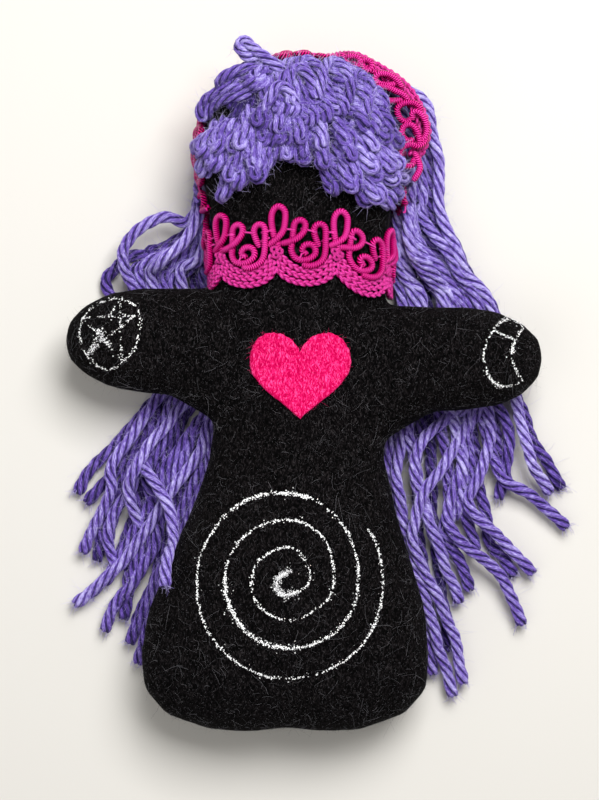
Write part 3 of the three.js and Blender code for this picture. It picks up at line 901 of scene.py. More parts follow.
@dataclass(frozen=True)
class PliedYarn:
    """How the yarn is made up: plies wound round each other, in millimetres. A cut end spreads a little."""

    plies: int = 4
    ply_radius: float = 0.98
    ply_offset: float = 1.28
    turn_length: float = 21.0
    step: float = 1.5
    sides: int = 8
    wander: float = 0.35
    wander_length: float = 17.0
    wave: float = 0.06
    wave_length: float = 2.3
    spread_length: float = 6.0
    spread_offset: float = 0.22
    spread_radius: float = 0.15
    spread_dark: float = 0.06
    tip_start: float = -0.6
    tip_length: float = 2.4
    tip_offset: float = 0.66
    tip_radius: float = 0.7
    groove_dark: float = 0.3
    ridge_light: float = 0.08
    ply_shade: float = 0.05
    least_height: float = 1.2
    fibre_radius: float = 0.034
    fibre_root: float = 0.6
    fibre_lean: float = 1.2
    fibre_stand: Span = (0.25, 1.0)
    fibre_tints: Span = (0.4, 1.0)
    frayed_radius: float = 0.07
    frayed_length: Span = (1.2, 3.0)
    frayed_root: Span = (0.2, 1.2)
    frayed_away: Span = (0.2, 2.3)
    frayed_spread: float = 0.55
    frayed_tints: Span = (0.1, 1.0)

    def lay(self, pile: MeshPile, route: Array, rng: np.random.Generator, cut_start: bool = False,
            cut_end: bool = True, size: float = 1.0, shades: Span = (0.34, 0.58)) -> None:
        """Lays one strand.

        Args:
            pile: The mesh that gets it.
            route: Its centreline, roughly.
            rng: Source of its small differences.
            cut_start: Whether its start is a cut end.
            cut_end: Whether its end is a cut end.
            size: Its thickness as a share of the usual.
            shades: Its darkest and lightest tint.
        """
        line = spaced(route, self.step)
        _, first, second = frames_along(line)
        along = np.arange(len(line)) * self.step
        left = along[-1] - along
        spread = np.zeros(len(line))
        tip = smoothstep(left, self.tip_start, self.tip_length)
        if cut_end:
            spread = np.maximum(spread, 1 - smoothstep(left, 0, self.spread_length))
        if cut_start:
            spread = np.maximum(spread, 1 - smoothstep(along, 0, self.spread_length))
            tip = tip * smoothstep(along, self.tip_start, self.tip_length)
        phase = rng.uniform(0, 2 * math.pi)
        wander = self.wander * np.sin(along / self.wander_length + rng.uniform(0, 6))
        shade = rng.uniform(*shades)
        # A ply is darkest in the groove beside its neighbours, where no light gets in.
        groove = self.ridge_light - self.groove_dark * (1 - np.cos(around(self.sides))) ** 2
        for ply in range(self.plies):
            # The turn runs down to the right on the side that faces the eye.
            turn = phase - 2 * math.pi * (along / self.turn_length + ply / self.plies) + wander
            out = np.cos(turn)[:, None] * first + np.sin(turn)[:, None] * second
            offset = size * self.ply_offset * (1 + self.spread_offset * spread)
            offset = offset * (self.tip_offset + (1 - self.tip_offset) * tip)
            centre = line + offset[:, None] * out
            centre[:, 2] = np.maximum(centre[:, 2], self.least_height * self.ply_radius)
            wave = 1 + self.wave * np.sin(along / self.wave_length + rng.uniform(0, 6))
            radius = size * self.ply_radius * wave * (1 + self.spread_radius * spread)
            radius = radius * (self.tip_radius + (1 - self.tip_radius) * tip)
            third = unit(np.cross(unit(np.gradient(centre, axis=0)), out))
            tint = shade + rng.uniform(-self.ply_shade, self.ply_shade) + groove
            tint = np.clip(tint[None, :] - self.spread_dark * spread[:, None], 0, 1)
            pile.add_tube(centre, radius, self.sides, tint, (out, third))

    def fuzz(self, pile: MeshPile, route: Array, rng: np.random.Generator, per_mm: float,
             length: Span = (1.5, 5.0)) -> None:
        """Stands loose fibres off a strand.

        Args:
            pile: The mesh that gets them.
            route: The strand's centreline.
            rng: Source of their places and shapes.
            per_mm: How many for each millimetre.
            length: Shortest and longest.
        """
        line = spaced(route, 1.0)
        tangents, first, second = frames_along(line)
        for at in rng.uniform(0, len(line) - 1, max(1, int(len(line) * per_mm))).astype(int):
            turn = rng.uniform(0, 2 * math.pi)
            out = math.cos(turn) * first[at] + math.sin(turn) * second[at]
            start = line[at] + out * (self.ply_offset + self.fibre_root * self.ply_radius)
            lean = tangents[at] * rng.uniform(-self.fibre_lean, self.fibre_lean)
            lean = lean + out * rng.uniform(*self.fibre_stand)
            add_fibre(pile, start, lean, rng.uniform(*length), self.fibre_radius, rng, self.fibre_tints)

    def tuft(self, pile: MeshPile, route: Array, rng: np.random.Generator, count: int = 26) -> None:
        """Frays the cut end of a strand.

        Args:
            pile: The mesh that gets the fibres.
            route: The strand's centreline, which ends at the cut.
            rng: Source of their places and shapes.
            count: How many fibres.
        """
        ahead = unit(route[-1] - route[-3])
        for _ in range(count):
            away = rng.normal(size=3)
            away = unit(away - ahead * np.dot(away, ahead))
            start = route[-1] - ahead * rng.uniform(*self.frayed_root) + away * rng.uniform(*self.frayed_away)
            heading = ahead + self.frayed_spread * away
            length = rng.uniform(*self.frayed_length)
            add_fibre(pile, start, heading, length, self.frayed_radius, rng, self.frayed_tints)


def add_fibre(pile: MeshPile, start: Array, heading: Array, length: float, radius: float,
              rng: np.random.Generator, tints: Span) -> None:
    """Adds one loose, curved fibre.

    Args:
        pile: The mesh that gets it.
        start: Where it leaves the surface.
        heading: Which way it sets out.
        length: Its length.
        radius: Its radius.
        rng: Source of its curl.
        tints: Darkest and lightest.
    """
    way = unit(np.asarray(heading, float))
    curl = unit(rng.normal(size=3)) * rng.uniform(*FIBRE_CURL)
    run = np.linspace(0, 1, len(FIBRE_TAPER))[:, None]
    line = start + length * (way * run + curl * run * (run - FIBRE_TURN))
    line[:, 2] = np.maximum(line[:, 2], FIBRE_FLOOR)
    pile.add_tube(line, radius * np.array(FIBRE_TAPER), 3, rng.uniform(*tints))


# Pieces and the parts that carry them


def carry(pieces: list[Piece], slot: str, body: str) -> list[Piece]:
    """Gives pieces the slot of their material and makes them ride on a body.

    Args:
        pieces: The pieces, in place.
        slot: The slot.
        body: The body.

    Returns:
        The same pieces.
    """
    for piece in pieces:
        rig.slot(piece, slot)
        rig.ride(piece, body)
    return pieces


def bend_at_neck(pieces: list[Piece], slot: str, low: float, high: float) -> list[Piece]:
    """Gives pieces the slot of their material and bends them from the torso to the head.

    Args:
        pieces: The pieces, in place.
        slot: The slot.
        low: Where along Y the bend starts.
        high: Where it ends.

    Returns:
        The same pieces.
    """
    middle, seam = HEAD.centre_x * MM, HEAD.seam_height * MM
    for piece in pieces:
        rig.slot(piece, slot)
        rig.blend(piece, "torso", "head", (middle, low * MM, seam), (middle, high * MM, seam))
    return pieces


def make_pair(piles: tuple[MeshPile, MeshPile], names: tuple[str, str], finishes: tuple[Finish, Finish],
              replaced: Iterable[str]) -> list[Piece]:
    """Makes a main piece and the finer one that goes with it.

    Args:
        piles: Their meshes.
        names: Their names.
        finishes: Their finishes.
        replaced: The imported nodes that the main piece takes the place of.

    Returns:
        The two pieces.
    """
    pieces = [pile.build(name, finish.material()) for pile, name, finish in zip(piles, names, finishes)]
    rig.replaces(pieces[0], *replaced)
    return pieces


def make_hair(name: str, strands: MeshPile, fibres: MeshPile, replaced: Iterable[str]) -> list[Piece]:
    """Strands of yarn and their loose fibres as two pieces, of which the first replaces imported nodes."""
    names = (name, f"{name}_fibres")
    return make_pair((strands, fibres), names, (Finish.HAIR_YARN, Finish.YARN_FUZZ), replaced)


# Felt body


def read_rows(items: bpy.types.bpy_prop_collection, name: str, kind: type) -> Array:
    """Reads a property of three numbers from each item of a mesh.

    Args:
        items: Its vertices or triangles.
        name: The property.
        kind: The type of its numbers.

    Returns:
        A row for each item.
    """
    values = np.zeros(len(items) * 3, kind)
    items.foreach_get(name, values)
    return values.reshape(-1, 3)


@dataclass
class FeltBody:
    """The stuffed body: one felt skin cut where its parts bend, in millimetres."""

    fill: float = 0.85
    voxel: float = 1.5
    smooth_steps: int = 14
    lump_height: float = 0.45
    lump_width: float = 16.0
    crumple_height: float = 0.12
    crumple_width: float = 4.0
    crease_depth: float = 0.75
    crease_width: float = 1.5
    neck_cut: float = 96.5
    neck_cut_half: float = 37.5
    head_cut: float = 100.0
    arm_cut_half: float = 33.0
    arm_cut_low: float = 40.0
    neck_bend: Span = (98.5, 120.0)
    arm_bend: Span = (38.0, 64.0)
    arm_y: float = 75.0
    high_over: float = 300.0
    sections: tuple[str, ...] = ("torso", "head", "left_arm", "right_arm")

    def __post_init__(self) -> None:
        """Shapes the skin once, for all that lies on it."""
        self.points, self.quads = self.shape_skin()
        polygons = [tuple(int(i) for i in q) for q in self.quads]
        self.tree = BVHTree.FromPolygons([Vector(p) for p in self.points], polygons)

    def nodes_of(self, section: str) -> list[str]:
        """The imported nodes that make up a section."""
        return [f"{section}_{layer}" for layer in ("front_felt", "back_felt", "stuffing")]

    def shape_skin(self) -> tuple[Array, Array]:
        """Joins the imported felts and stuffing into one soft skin.

        Returns:
            Points in millimetres, and faces of four corners.
        """
        points, faces, count = [], [], 0
        for name in [node for section in self.sections for node in self.nodes_of(section)]:
            mesh = frame["nodes"][name].data
            mesh.calc_loop_triangles()
            points.append(read_rows(mesh.vertices, "co", np.float32))
            faces.append(read_rows(mesh.loop_triangles, "vertices", np.int32) + count)
            count += len(mesh.vertices)
        joined = bpy.data.meshes.new("felt_blank")
        joined.from_pydata(np.vstack(points).tolist(), [], np.vstack(faces).tolist())
        blank = placed("felt_blank", joined)
        remesh = blank.modifiers.new("skin", "REMESH")
        remesh.mode = "VOXEL"
        remesh.voxel_size = self.voxel * MM
        soften = blank.modifiers.new("soften", "SMOOTH")
        soften.iterations = self.smooth_steps
        soften.factor = 0.5
        soft = blank.evaluated_get(bpy.context.evaluated_depsgraph_get()).to_mesh()
        skin = read_rows(soft.vertices, "co", np.float32).astype(float) / MM
        normals = read_rows(soft.vertices, "normal", np.float32).astype(float)
        quads = np.array([list(p.vertices) for p in soft.polygons if len(p.vertices) == 4])
        bpy.data.objects.remove(blank)
        return self.work(skin, normals), quads

    def work(self, skin: Array, normals: Array) -> Array:
        """Adds the lumps of the stuffing and the sewn crease, and keeps the back flat.

        Args:
            skin: The smooth skin's points.
            normals: Its normals.

        Returns:
            The worked points.
        """
        lumps = np.array([noise.noise(Vector(p / self.lump_width)) for p in skin])
        crumples = np.array([noise.noise(Vector(p / self.crumple_width)) for p in skin])
        crease = np.exp(-(((skin[:, 2] - HEAD.seam_height) / self.crease_width) ** 2))
        flat = smoothstep(skin[:, 2], 0.3, 6.0)
        moved = self.lump_height * lumps + self.crumple_height * crumples
        side = 1 - np.abs(normals[:, 2:3])
        worked = skin + normals * (flat * moved)[:, None]
        worked -= normals * side * (self.crease_depth * crease)[:, None]
        worked[:, 2] = np.maximum(worked[:, 2], 0)
        return worked

    def cast(self, start: Array, heading: Array) -> tuple[Array, Array] | None:
        """Follows a ray to the felt.

        Args:
            start: Where it starts.
            heading: Which way it goes.

        Returns:
            Where it meets the felt, and the normal there, or None.
        """
        place, normal, _, _ = self.tree.ray_cast(Vector(start), Vector(heading))
        return None if place is None else (np.array(place), np.array(normal))

    def front(self, pixel: Pixel) -> tuple[Array, Array] | None:
        """Where the view's ray through a pixel meets the front, and the normal there."""
        eye = np.array([VIEW.centre_x, VIEW.centre_y, VIEW.height])
        return self.cast(eye, unit(VIEW.at(pixel, 20.0) - eye))

    def above(self, x: float, y: float) -> tuple[Array, Array] | None:
        """The front surface over a place, and its normal."""
        return self.cast((x, y, self.high_over), (0, 0, -1))

    def part_of(self, x: Array, y: Array) -> Array:
        """Sorts places into sections.

        Args:
            x: The places along X.
            y: The places along Y.

        Returns:
            For each place, the number of its section.
        """
        away = x - HEAD.centre_x
        head = ((y > self.neck_cut) & (np.abs(away) < self.neck_cut_half)) | (y > self.head_cut)
        arm = (np.abs(away) > self.arm_cut_half) & (y > self.arm_cut_low)
        return np.where(head, 1, np.where(arm & (away < 0), 2, np.where(arm, 3, 0)))

    def attach(self, piece: Piece, part: int) -> Piece:
        """Makes a piece of felt, or one on the felt, bend as its section does.

        Args:
            piece: The piece, in place.
            part: The section's number.

        Returns:
            The same piece.
        """
        if part == 0:
            return carry([piece], "black_felt", "torso")[0]
        if part == 1:
            return bend_at_neck([piece], "black_felt", *self.neck_bend)[0]
        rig.slot(piece, "black_felt")
        side = -1 if part == 2 else 1
        y, z = self.arm_y * MM, HEAD.seam_height * MM
        ends = [((HEAD.centre_x + side * away) * MM, y, z) for away in self.arm_bend]
        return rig.blend(piece, "torso", self.sections[part], *ends)

    def build(self) -> list[Piece]:
        """Cuts the skin into its sections and dresses them.

        Returns:
            The four pieces of felt.
        """
        centres = self.points[self.quads].mean(axis=1)
        parts = self.part_of(centres[:, 0], centres[:, 1])
        pieces = []
        for part, section in enumerate(self.sections):
            quads = self.quads[parts == part]
            used, renumbered = np.unique(quads, return_inverse=True)
            pile = MeshPile()
            faces = renumbered.reshape(quads.shape)
            places = self.points[used]
            pile.add(places, [faces], [places[faces][:, :, :2]], 0.5)
            piece = pile.build(f"{section}_felt", Finish.BODY_FELT.material())
            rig.replaces(piece, *self.nodes_of(section))
            self.attach(piece, part)
            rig.padded(piece, fill=self.fill)
            pieces.append(piece)
        return pieces


@dataclass
class FeltFibres:
    """Lint and stray fibres on the black felt, in millimetres."""

    body: FeltBody
    short_count: int = 20800
    long_count: int = 2400
    short_length: Span = (0.25, 0.8)
    long_length: Span = (1.6, 5.6)
    short_tints: Span = (0.0, 0.75)
    long_tints: Span = (0.1, 1.0)
    short_lift: float = 0.35
    long_lift: float = 0.3
    radius: float = 0.024
    radius_spread: Span = (0.7, 1.3)
    stand: float = 0.12
    least_height: float = 1.0
    back_share: float = 0.35
    back_tilt: float = -0.2
    seed: int = 41

    def build(self) -> list[Piece]:
        """Strews the fibres over each section.

        Returns:
            A piece of fibres for the front and one for the back of each section of felt.
        """
        rng = np.random.default_rng(self.seed)
        quads = self.body.quads
        corners = self.body.points[quads]
        centres = corners.mean(axis=1)
        normals = np.cross(corners[:, 1] - corners[:, 0], corners[:, 3] - corners[:, 0])
        areas = np.linalg.norm(normals, axis=1)
        normals = unit(normals)
        seen = centres[:, 2] > self.least_height
        weights = areas * seen * np.where(normals[:, 2] > self.back_tilt, 1.0, self.back_share)
        piles = [(MeshPile(), MeshPile()) for _ in self.body.sections]
        parts = self.body.part_of(centres[:, 0], centres[:, 1])
        runs = ((self.short_count, self.short_length, self.short_tints, self.short_lift),
                (self.long_count, self.long_length, self.long_tints, self.long_lift))
        for count, length, tints, lift in runs:
            for at in rng.choice(len(quads), count, p=weights / weights.sum()):
                normal = normals[at]
                shares = rng.uniform(size=2)
                place = corners[at, 0] + shares[0] * (corners[at, 1] - corners[at, 0])
                place = place + shares[1] * (corners[at, 3] - corners[at, 0]) + self.stand * normal
                way = rng.normal(size=3)
                way = unit(way - normal * np.dot(way, normal)) + normal * rng.uniform(0.0, lift)
                radius = self.radius * rng.uniform(*self.radius_spread)
                pile = piles[parts[at]][int(normal[2] < 0)]
                add_fibre(pile, place, way, rng.uniform(*length), radius, rng, tints)
        pieces = []
        for part, (section, sides) in enumerate(zip(self.body.sections, piles)):
            for side, pile in zip(("front", "back"), sides):
                piece = pile.build(f"{section}_{side}_lint", Finish.LINT.material())
                pieces.append(self.body.attach(piece, part))
        return pieces


# Heart and chalk marks


@dataclass
class FeltHeart:
    """The heart of pink felt on the chest, in millimetres."""

    body: FeltBody
    centre: Pixel = (2.9, 66.0)
    width: float = 35.2
    height: float = 30.4
    thickness: float = 1.4
    edge: float = 0.5
    notch: float = 0.22
    rings: int = 9
    fibres: int = 70
    fibre_radius: float = 0.035
    fibre_length: Span = (0.6, 1.8)
    fibre_start: Span = (0.4, 1.3)
    fibre_rise: Span = (-2.0, 6.0)
    fibre_spread: float = 0.6
    fibre_tints: Span = (0.3, 0.9)
    raggedness: float = 0.12
    flat_shares: Span = (0.12, 0.9)
    # The rounded rim: how far out each of its rings is, and its height below the top or above the body.
    rim_shares: tuple[float, ...] = (0.97, 1.0, 1.0, 0.99)
    rim_drop: float = 0.12
    rim_feet: Span = (0.3, -0.4)
    seed: int = 8
    lobe: tuple[tuple[Pixel, Pixel, Pixel], ...] = (
        ((0.14, 0.04), (0.34, 0.0), (0.56, 0.0)),
        ((0.82, 0.0), (1.0, 0.15), (1.0, 0.34)),
        ((1.0, 0.6), (0.4, 0.76), (0.0, 1.0)),
    )

    def outline(self) -> Array:
        """Draws the heart's edge.

        Returns:
            Its points as x and y, from the notch round the right lobe to the notch.
        """
        half, last = [], np.array([0.0, self.notch])
        for one, two, end in self.lobe:
            t = np.linspace(0, 1, 16, endpoint=False)[:, None]
            half.append((1 - t) ** 3 * last + 3 * (1 - t) ** 2 * t * np.array(one)
                        + 3 * (1 - t) * t**2 * np.array(two) + t**3 * np.array(end))
            last = np.array(end)
        right = np.vstack([*half, last])
        left = right[1:-1][::-1] * [-1, 1]
        edge = np.vstack([right, left]) * [self.width / 2, -self.height]
        edge[:, 1] += self.height / 2
        return edge + np.array(self.centre)

    def build(self) -> list[Piece]:
        """Lays the heart on the chest.

        Returns:
            The heart, and the loose fibres of its edge.
        """
        rng = np.random.default_rng(self.seed)
        edge = self.outline()
        ragged = edge + self.raggedness * rng.normal(size=edge.shape)
        middle = np.array([self.centre[0], self.centre[1] + 1.0])
        shares = [*np.linspace(*self.flat_shares, self.rings), *self.rim_shares]
        tops = [self.thickness - drop for drop in (*[0.0] * self.rings, self.rim_drop, self.edge)]
        lifts = [*tops, *self.rim_feet]
        levels = []
        for share, lift in zip(shares, lifts):
            ring = middle + (ragged - middle) * share
            spots = [self.body.above(x, y) for x, y in ring]
            levels.append([spot + normal * lift for spot, normal in spots])
        points = np.array(levels)
        count = points.shape[1]
        spot, normal = self.body.above(*middle)
        flat = np.vstack([points.reshape(-1, 3), spot + normal * self.thickness])
        # Turned over, so that the faces look up.
        quads = ring_faces(len(shares), count)[0][:, [0, 3, 2, 1]]
        each = np.arange(count)
        fan = np.column_stack([np.full(count, len(flat) - 1), each, (each + 1) % count])
        pile = MeshPile()
        pile.add(flat, [quads, fan], [flat[quads][:, :, :2], flat[fan][:, :, :2]], 0.5)
        fuzz = MeshPile()
        for x, y in ragged[rng.integers(0, len(ragged), self.fibres)]:
            spot, normal = self.body.above(x, y)
            away = unit(np.array([x - middle[0], y - middle[1], rng.uniform(*self.fibre_rise)]))
            way = away + rng.normal(size=3) * self.fibre_spread
            start = spot + normal * rng.uniform(*self.fibre_start)
            length = rng.uniform(*self.fibre_length)
            add_fibre(fuzz, start, way, length, self.fibre_radius, rng, self.fibre_tints)
        names = ("heart_felt", "heart_felt_fibres")
        pieces = make_pair((pile, fuzz), names, (Finish.HEART_FELT, Finish.HEART_FELT), ("heart_patch",))
        return carry(pieces, "pink_felt", "torso")


class Mark(Enum):
    """The marks drawn in chalk."""

    SPIRAL = "spiral"
    STAR = "star_in_ring"
    MOON = "crescent_moon"


@dataclass(frozen=True)
class ChalkLine:
    """One stroke: its route in pixels of the view, its width in millimetres and how much chalk it left."""

    route: Route
    width: float
    cover: float
    light: float
    straight: bool = False


@dataclass
class ChalkMarks:
    """The spiral on the belly and the star and moon on the hands."""

    body: FeltBody
    step: float = 0.25
    per_mm: float = 12.0
    corners: int = 5
    crumb: Span = (0.1, 0.32)
    lift: float = 0.22
    gap_length: float = 3.4
    gap_depth: float = 0.45
    tuft_width: float = 0.55
    spread: float = 0.42
    # The share of crumbs that fall wide of the stroke, and how much wider.
    astray_share: float = 0.05
    astray: float = 3.0
    skip_level: float = 0.24
    skip_cover: float = 0.3
    lift_spread: Span = (0.4, 1.3)
    corner_spread: Span = (0.55, 1.25)
    flatness: Span = (0.5, 1.0)
    tint_spread: Span = (-0.3, 0.15)
    seed: int = 70

    def spiral(self) -> list[ChalkLine]:
        """Draws the spiral on the belly.

        Returns:
            Its strokes: the smudged hook, the whole line, and where it was pressed harder.
        """
        turns = traced(
            "290,571 279,577 276,588 283,595 295,593 305,588 310,577 306,562 298,551 288,547 273,551 "
            "258,562 252,580 254,598 266,612 280,619 290,620 307,615 324,603 333,588 333,565 326,542 "
            "311,527 290,520 268,523 247,534 231,553 225,578 228,602 240,624 256,639 275,646 297,648 "
            "320,641 340,628 354,606 358,583 357,560 349,535 333,514 310,498 283,493 255,497 230,511 "
            "212,533 200,558 197,583 199,606 208,631 224,652 246,668 270,677 293,678 320,673 345,660 "
            "365,641 378,614 383,585 380,557 375,541 368,530")
        hook = ChalkLine(turns[:5], 1.5, 2.6, 0.42)
        pressed = (ChalkLine(turns[27:33], 1.1, 1.3, 0.85), ChalkLine(turns[40:44], 0.9, 1.1, 0.85),
                   ChalkLine(turns[34:38], 0.9, 0.6, 0.5))
        return [hook, ChalkLine(turns, 0.6, 1.0, 0.85), *pressed]

    def star(self) -> list[ChalkLine]:
        """Draws the five-pointed star in its ring, on the left hand.

        Returns:
            Its strokes.
        """
        ring = traced(
            "120.6,299 133,304 139.5,315 139,333 134,349 124,361 110,369 98,366 87,355 81.5,343 80,330 "
            "84,317 95,306 108,300 122,298.5")
        tips = traced("120.6,299 88,354 134.4,316 83.6,318 122,360 120.6,299")
        order = ((0, 1), (3, 2), (3, 4), (2, 1), (4, 0))
        legs = [ChalkLine((tips[a], tips[b]), 0.5, 0.62, 0.7, True) for a, b in order]
        smear = ChalkLine(traced("104,333 96,345 88,355"), 1.3, 1.6, 0.35)
        joint = ChalkLine(traced("97,329 103,337 110,345"), 0.9, 1.2, 0.6)
        return [ChalkLine(ring, 0.6, 0.8, 0.85), *legs, smear, joint]

    def moon(self) -> list[ChalkLine]:
        """Draws the crescent on the right hand.

        Returns:
            Its strokes.
        """
        outer = traced(
            "523,329 517,322 508,319 499,324 492,332 486,345 483.5,358 486,370 492,380 501,386 512,385 "
            "522,380")
        inner = traced("523,329 517,337 513,345 511.5,354 514,366 518,374 522.5,380")
        bar = traced("494.6,331 503,335 512.5,339")
        return [ChalkLine(outer, 0.7, 1.0, 0.9), ChalkLine(inner, 0.55, 0.8, 0.85),
                ChalkLine(bar, 0.5, 1.1, 0.7), ChalkLine(inner[2:4], 0.8, 1.2, 0.85)]

    def rub(self, pile: MeshPile, line: ChalkLine, rng: np.random.Generator) -> None:
        """Leaves the crumbs of one stroke.

        Args:
            pile: The mesh that gets them.
            line: The stroke.
            rng: Source of their places and shapes.
        """
        spots = np.array([self.body.front(p)[0] for p in line.route])
        path = spaced(spots, self.step) if line.straight else rounded(spots, self.step)
        length = self.step * len(path)
        each = np.arange(self.corners)
        faces = np.column_stack([each, (each + 1) % self.corners, np.full(self.corners, self.corners)])
        for at in rng.integers(0, len(path), int(length * self.per_mm * line.cover)):
            place = path[at]
            # Chalk skips: long gaps, and short ones where it jumps from one tuft of fibres to the next.
            across = rng.normal(size=2) * line.width * self.spread
            across = across * (1 if rng.uniform() > self.astray_share else self.astray)
            rubbed = place + np.array([across[0], across[1], 0])
            skips = self.gap_depth * noise.noise(Vector(place / self.gap_length))
            skips += noise.noise(Vector(rubbed / self.tuft_width))
            if skips < self.skip_level - self.skip_cover * line.cover:
                continue
            found = self.body.above(place[0] + across[0], place[1] + across[1])
            if found is None:
                continue
            spot, normal = found
            side = unit(np.cross(normal, rng.normal(size=3)))
            ahead = np.cross(normal, side)
            size = rng.uniform(*self.crumb)
            corners = around(self.corners) + rng.uniform(0, 1)
            reach = size * rng.uniform(*self.corner_spread, self.corners)
            rim = np.cos(corners)[:, None] * side * rng.uniform(*self.flatness)
            rim = rim + np.sin(corners)[:, None] * ahead
            base = spot + normal * self.lift * rng.uniform(*self.lift_spread)
            points = np.vstack([base + rim * reach[:, None], base + normal * size * 0.5])
            tint = np.clip(line.light + rng.uniform(*self.tint_spread), 0, 1)
            pile.add(points, [faces], [points[faces][:, :, :2]], tint)

    def build(self) -> list[Piece]:
        """Draws the three marks.

        Returns:
            One piece for each.
        """
        # Each mark's strokes, and the number of the section that it is on.
        drawn = {Mark.SPIRAL: (self.spiral(), 0), Mark.STAR: (self.star(), 2), Mark.MOON: (self.moon(), 3)}
        pieces = []
        for number, (mark, (lines, part)) in enumerate(drawn.items()):
            rng = np.random.default_rng(self.seed + number)
            pile = MeshPile()
            for line in lines:
                self.rub(pile, line, rng)
            piece = pile.build(f"chalk_{mark.value}", Finish.CHALK.material())
            pieces.append(self.body.attach(piece, part))
        return pieces


# Looped lace


@dataclass
class LoopedLace:
    """The trim, in millimetres: motifs of gimp cord in loops and a spiral, above three rows of chain."""

    name: str
    rng: np.random.Generator
    cords: MeshPile = field(default_factory=MeshPile)
    braid: MeshPile = field(default_factory=MeshPile)
    cord_radius: float = 1.2
    cord_sides: int = 9
    cord_step: float = 0.8
    thread_radius: float = 0.52
    thread_sides: int = 5
    thread_step: float = 0.45
    row_half_width: float = 0.7
    row_lift: float = 0.6
    row_height: float = 0.9
    chain_stitch: float = 2.6
    # A braid thread's tint, and how much painted light and shade change it as the thread rises and dips.
    braid_shade: float = 0.27
    braid_painted_shading: float = 0.34
    cord_shades: Span = (0.24, 0.34)
    # Painted shade on the side of a cord that faces the felt.
    cord_painted_shade: float = 0.32
    drift: float = 0.25
    tilt: float = 0.02
    # Pixels of the view, for the motif that faces it; each has a height over the felt in millimetres.
    middle: Pixel = (306.2, 286.0)
    pixel_size: float = 0.3512
    tall: Route = traced(
        "266.5,246.5,1.5 272,243,1.9 279,237,2.6 283.6,230,2.4 285.6,217,1.8 284.6,209.5,1.7 "
        "279.6,205.6,1.7 274.2,209.5,1.7 271.7,219,1.7 273.2,234,1.7 277,243,1.3 279,249,0.9")
    medium: Route = traced(
        "279.4,244.6,1.5 287,243,1.9 296,239.6,2.6 302.5,233,2.5 304.5,226,1.9 302.4,221.6,1.7 "
        "298.2,220.2,1.7 293.8,223,1.7 292.4,230,1.6 291.4,243,1.5 290.4,251,1.6 293.8,258.8,1.7 "
        "301,262,1.7 309,260.6,1.8 314.9,255.4,1.9 314.2,248.6,1.9 309.3,245.4,1.9 303.6,247,1.9 "
        "301.6,251.6,1.9 304.4,255,2 307,253.2,2.2")
    third: Route = traced(
        "319,246.5,1.2 315.6,239,1.4 313.6,231.7,1.6 314.4,226,1.7 318.8,223,1.7 323.2,224.6,1.7 "
        "325.2,230,2 325,240,2.4 324.8,250,2.5 323,258.6,2.3 318,264.4,2.1 309.3,267.4,1.9 301,266.2,1.6")
    rows: tuple[Route, ...] = all_traced(
        "275.8,268 281,276 291,282.6 307,286 323,283 332,276.5 336.6,268",
        "276.6,261 283.4,269 293,275.6 307,279 321,276.4 329.5,270.5 335.4,262",
        "278,254 286,262.4 295,269 307,272.6 319,270.4 327,264.4 333.4,255.6")
    knots: Route = traced("273.5,250 279,252.5 275.5,256")
    # Fine threads that tie one loop to the next, by both ends.
    ties: Route = traced(
        "284,229,294,230 302,229,315.5,232 324,232,335.5,230 268.5,238,261,241 299,262,303,252")
    tie_lifts: tuple[float, ...] = (1.2, 2.4, 2.5, 1.2)
    tie_radius: float = 0.34
    tie_step: float = 0.5
    tie_sides: int = 5
    tie_shade: float = 0.6
    knot_wave: float = 0.4
    knot_points: int = 11
    knot_step: float = 0.55
    knot_sides: int = 6
    knot_shade: float = 0.4
    # A cord's ends narrow over a few of its points.
    end_points: Span = (-1.2, 1.5)
    end_radius: float = 0.35
    knot_radius: float = 1.0
    knot_lift: float = 1.7
    knot_thread: float = 0.62

    def flat(self, pixel: Pixel) -> tuple[float, float]:
        """A pixel of the motif as distances along and up from its middle and its lower edge."""
        return (pixel[0] - self.middle[0]) * self.pixel_size, (self.middle[1] - pixel[1]) * self.pixel_size

    def follow(self, run: Array, start: float, place: Place) -> tuple[Array, Array]:
        """Takes a run of the motif to its place on the doll.

        Args:
            run: Distances along and up, and heights over the felt.
            start: The motif's middle along the band.
            place: Turns distance along, distance up and height to a point.

        Returns:
            The run's points, and which way is off the felt at each.
        """
        line = np.array([place(start + along, up, lift) for along, up, lift in run])
        raised = np.array([place(start + along, up, lift + 1) for along, up, lift in run])
        return line, raised - line

    def lay_cord(self, points: Route, start: float, place: Place) -> None:
        """Lays one run of gimp cord.

        Args:
            points: Pixel x, pixel y and height of the run.
            start: The motif's middle along the band.
            place: Turns distance along, distance up and height to a point.
        """
        shift = self.rng.normal(size=2) * self.drift
        lean = self.rng.normal() * self.tilt
        run = []
        for x, y, lift in points:
            along, up = self.flat((x, y))
            run.append((along + shift[0] + lean * up, up + shift[1] * 0.5, lift))
        self.lay_gimp(*self.follow(rounded(run, self.cord_step), start, place))

    def lay_gimp(self, line: Array, out: Array) -> None:
        """Lays gimp cord along a line, with painted shade on the side that faces the felt.

        Args:
            line: Its centreline.
            out: Which way is off the felt, at each point.
        """
        tangent = unit(np.gradient(line, axis=0))
        side = unit(np.cross(tangent, out))
        top = unit(np.cross(side, tangent))
        count = np.arange(len(line))
        ends = smoothstep(np.minimum(count, count[::-1]), *self.end_points)
        # Painted shade: the cord darkens towards the side that faces the felt.
        tint = self.rng.uniform(*self.cord_shades) - self.cord_painted_shade * (1 - np.cos(around(self.cord_sides)))
        tint = np.clip(np.broadcast_to(tint, (len(line), self.cord_sides)), 0, 1)
        radius = self.cord_radius * (self.end_radius + (1 - self.end_radius) * ends)
        self.cords.add_tube(line, radius, self.cord_sides, tint, (top, side))

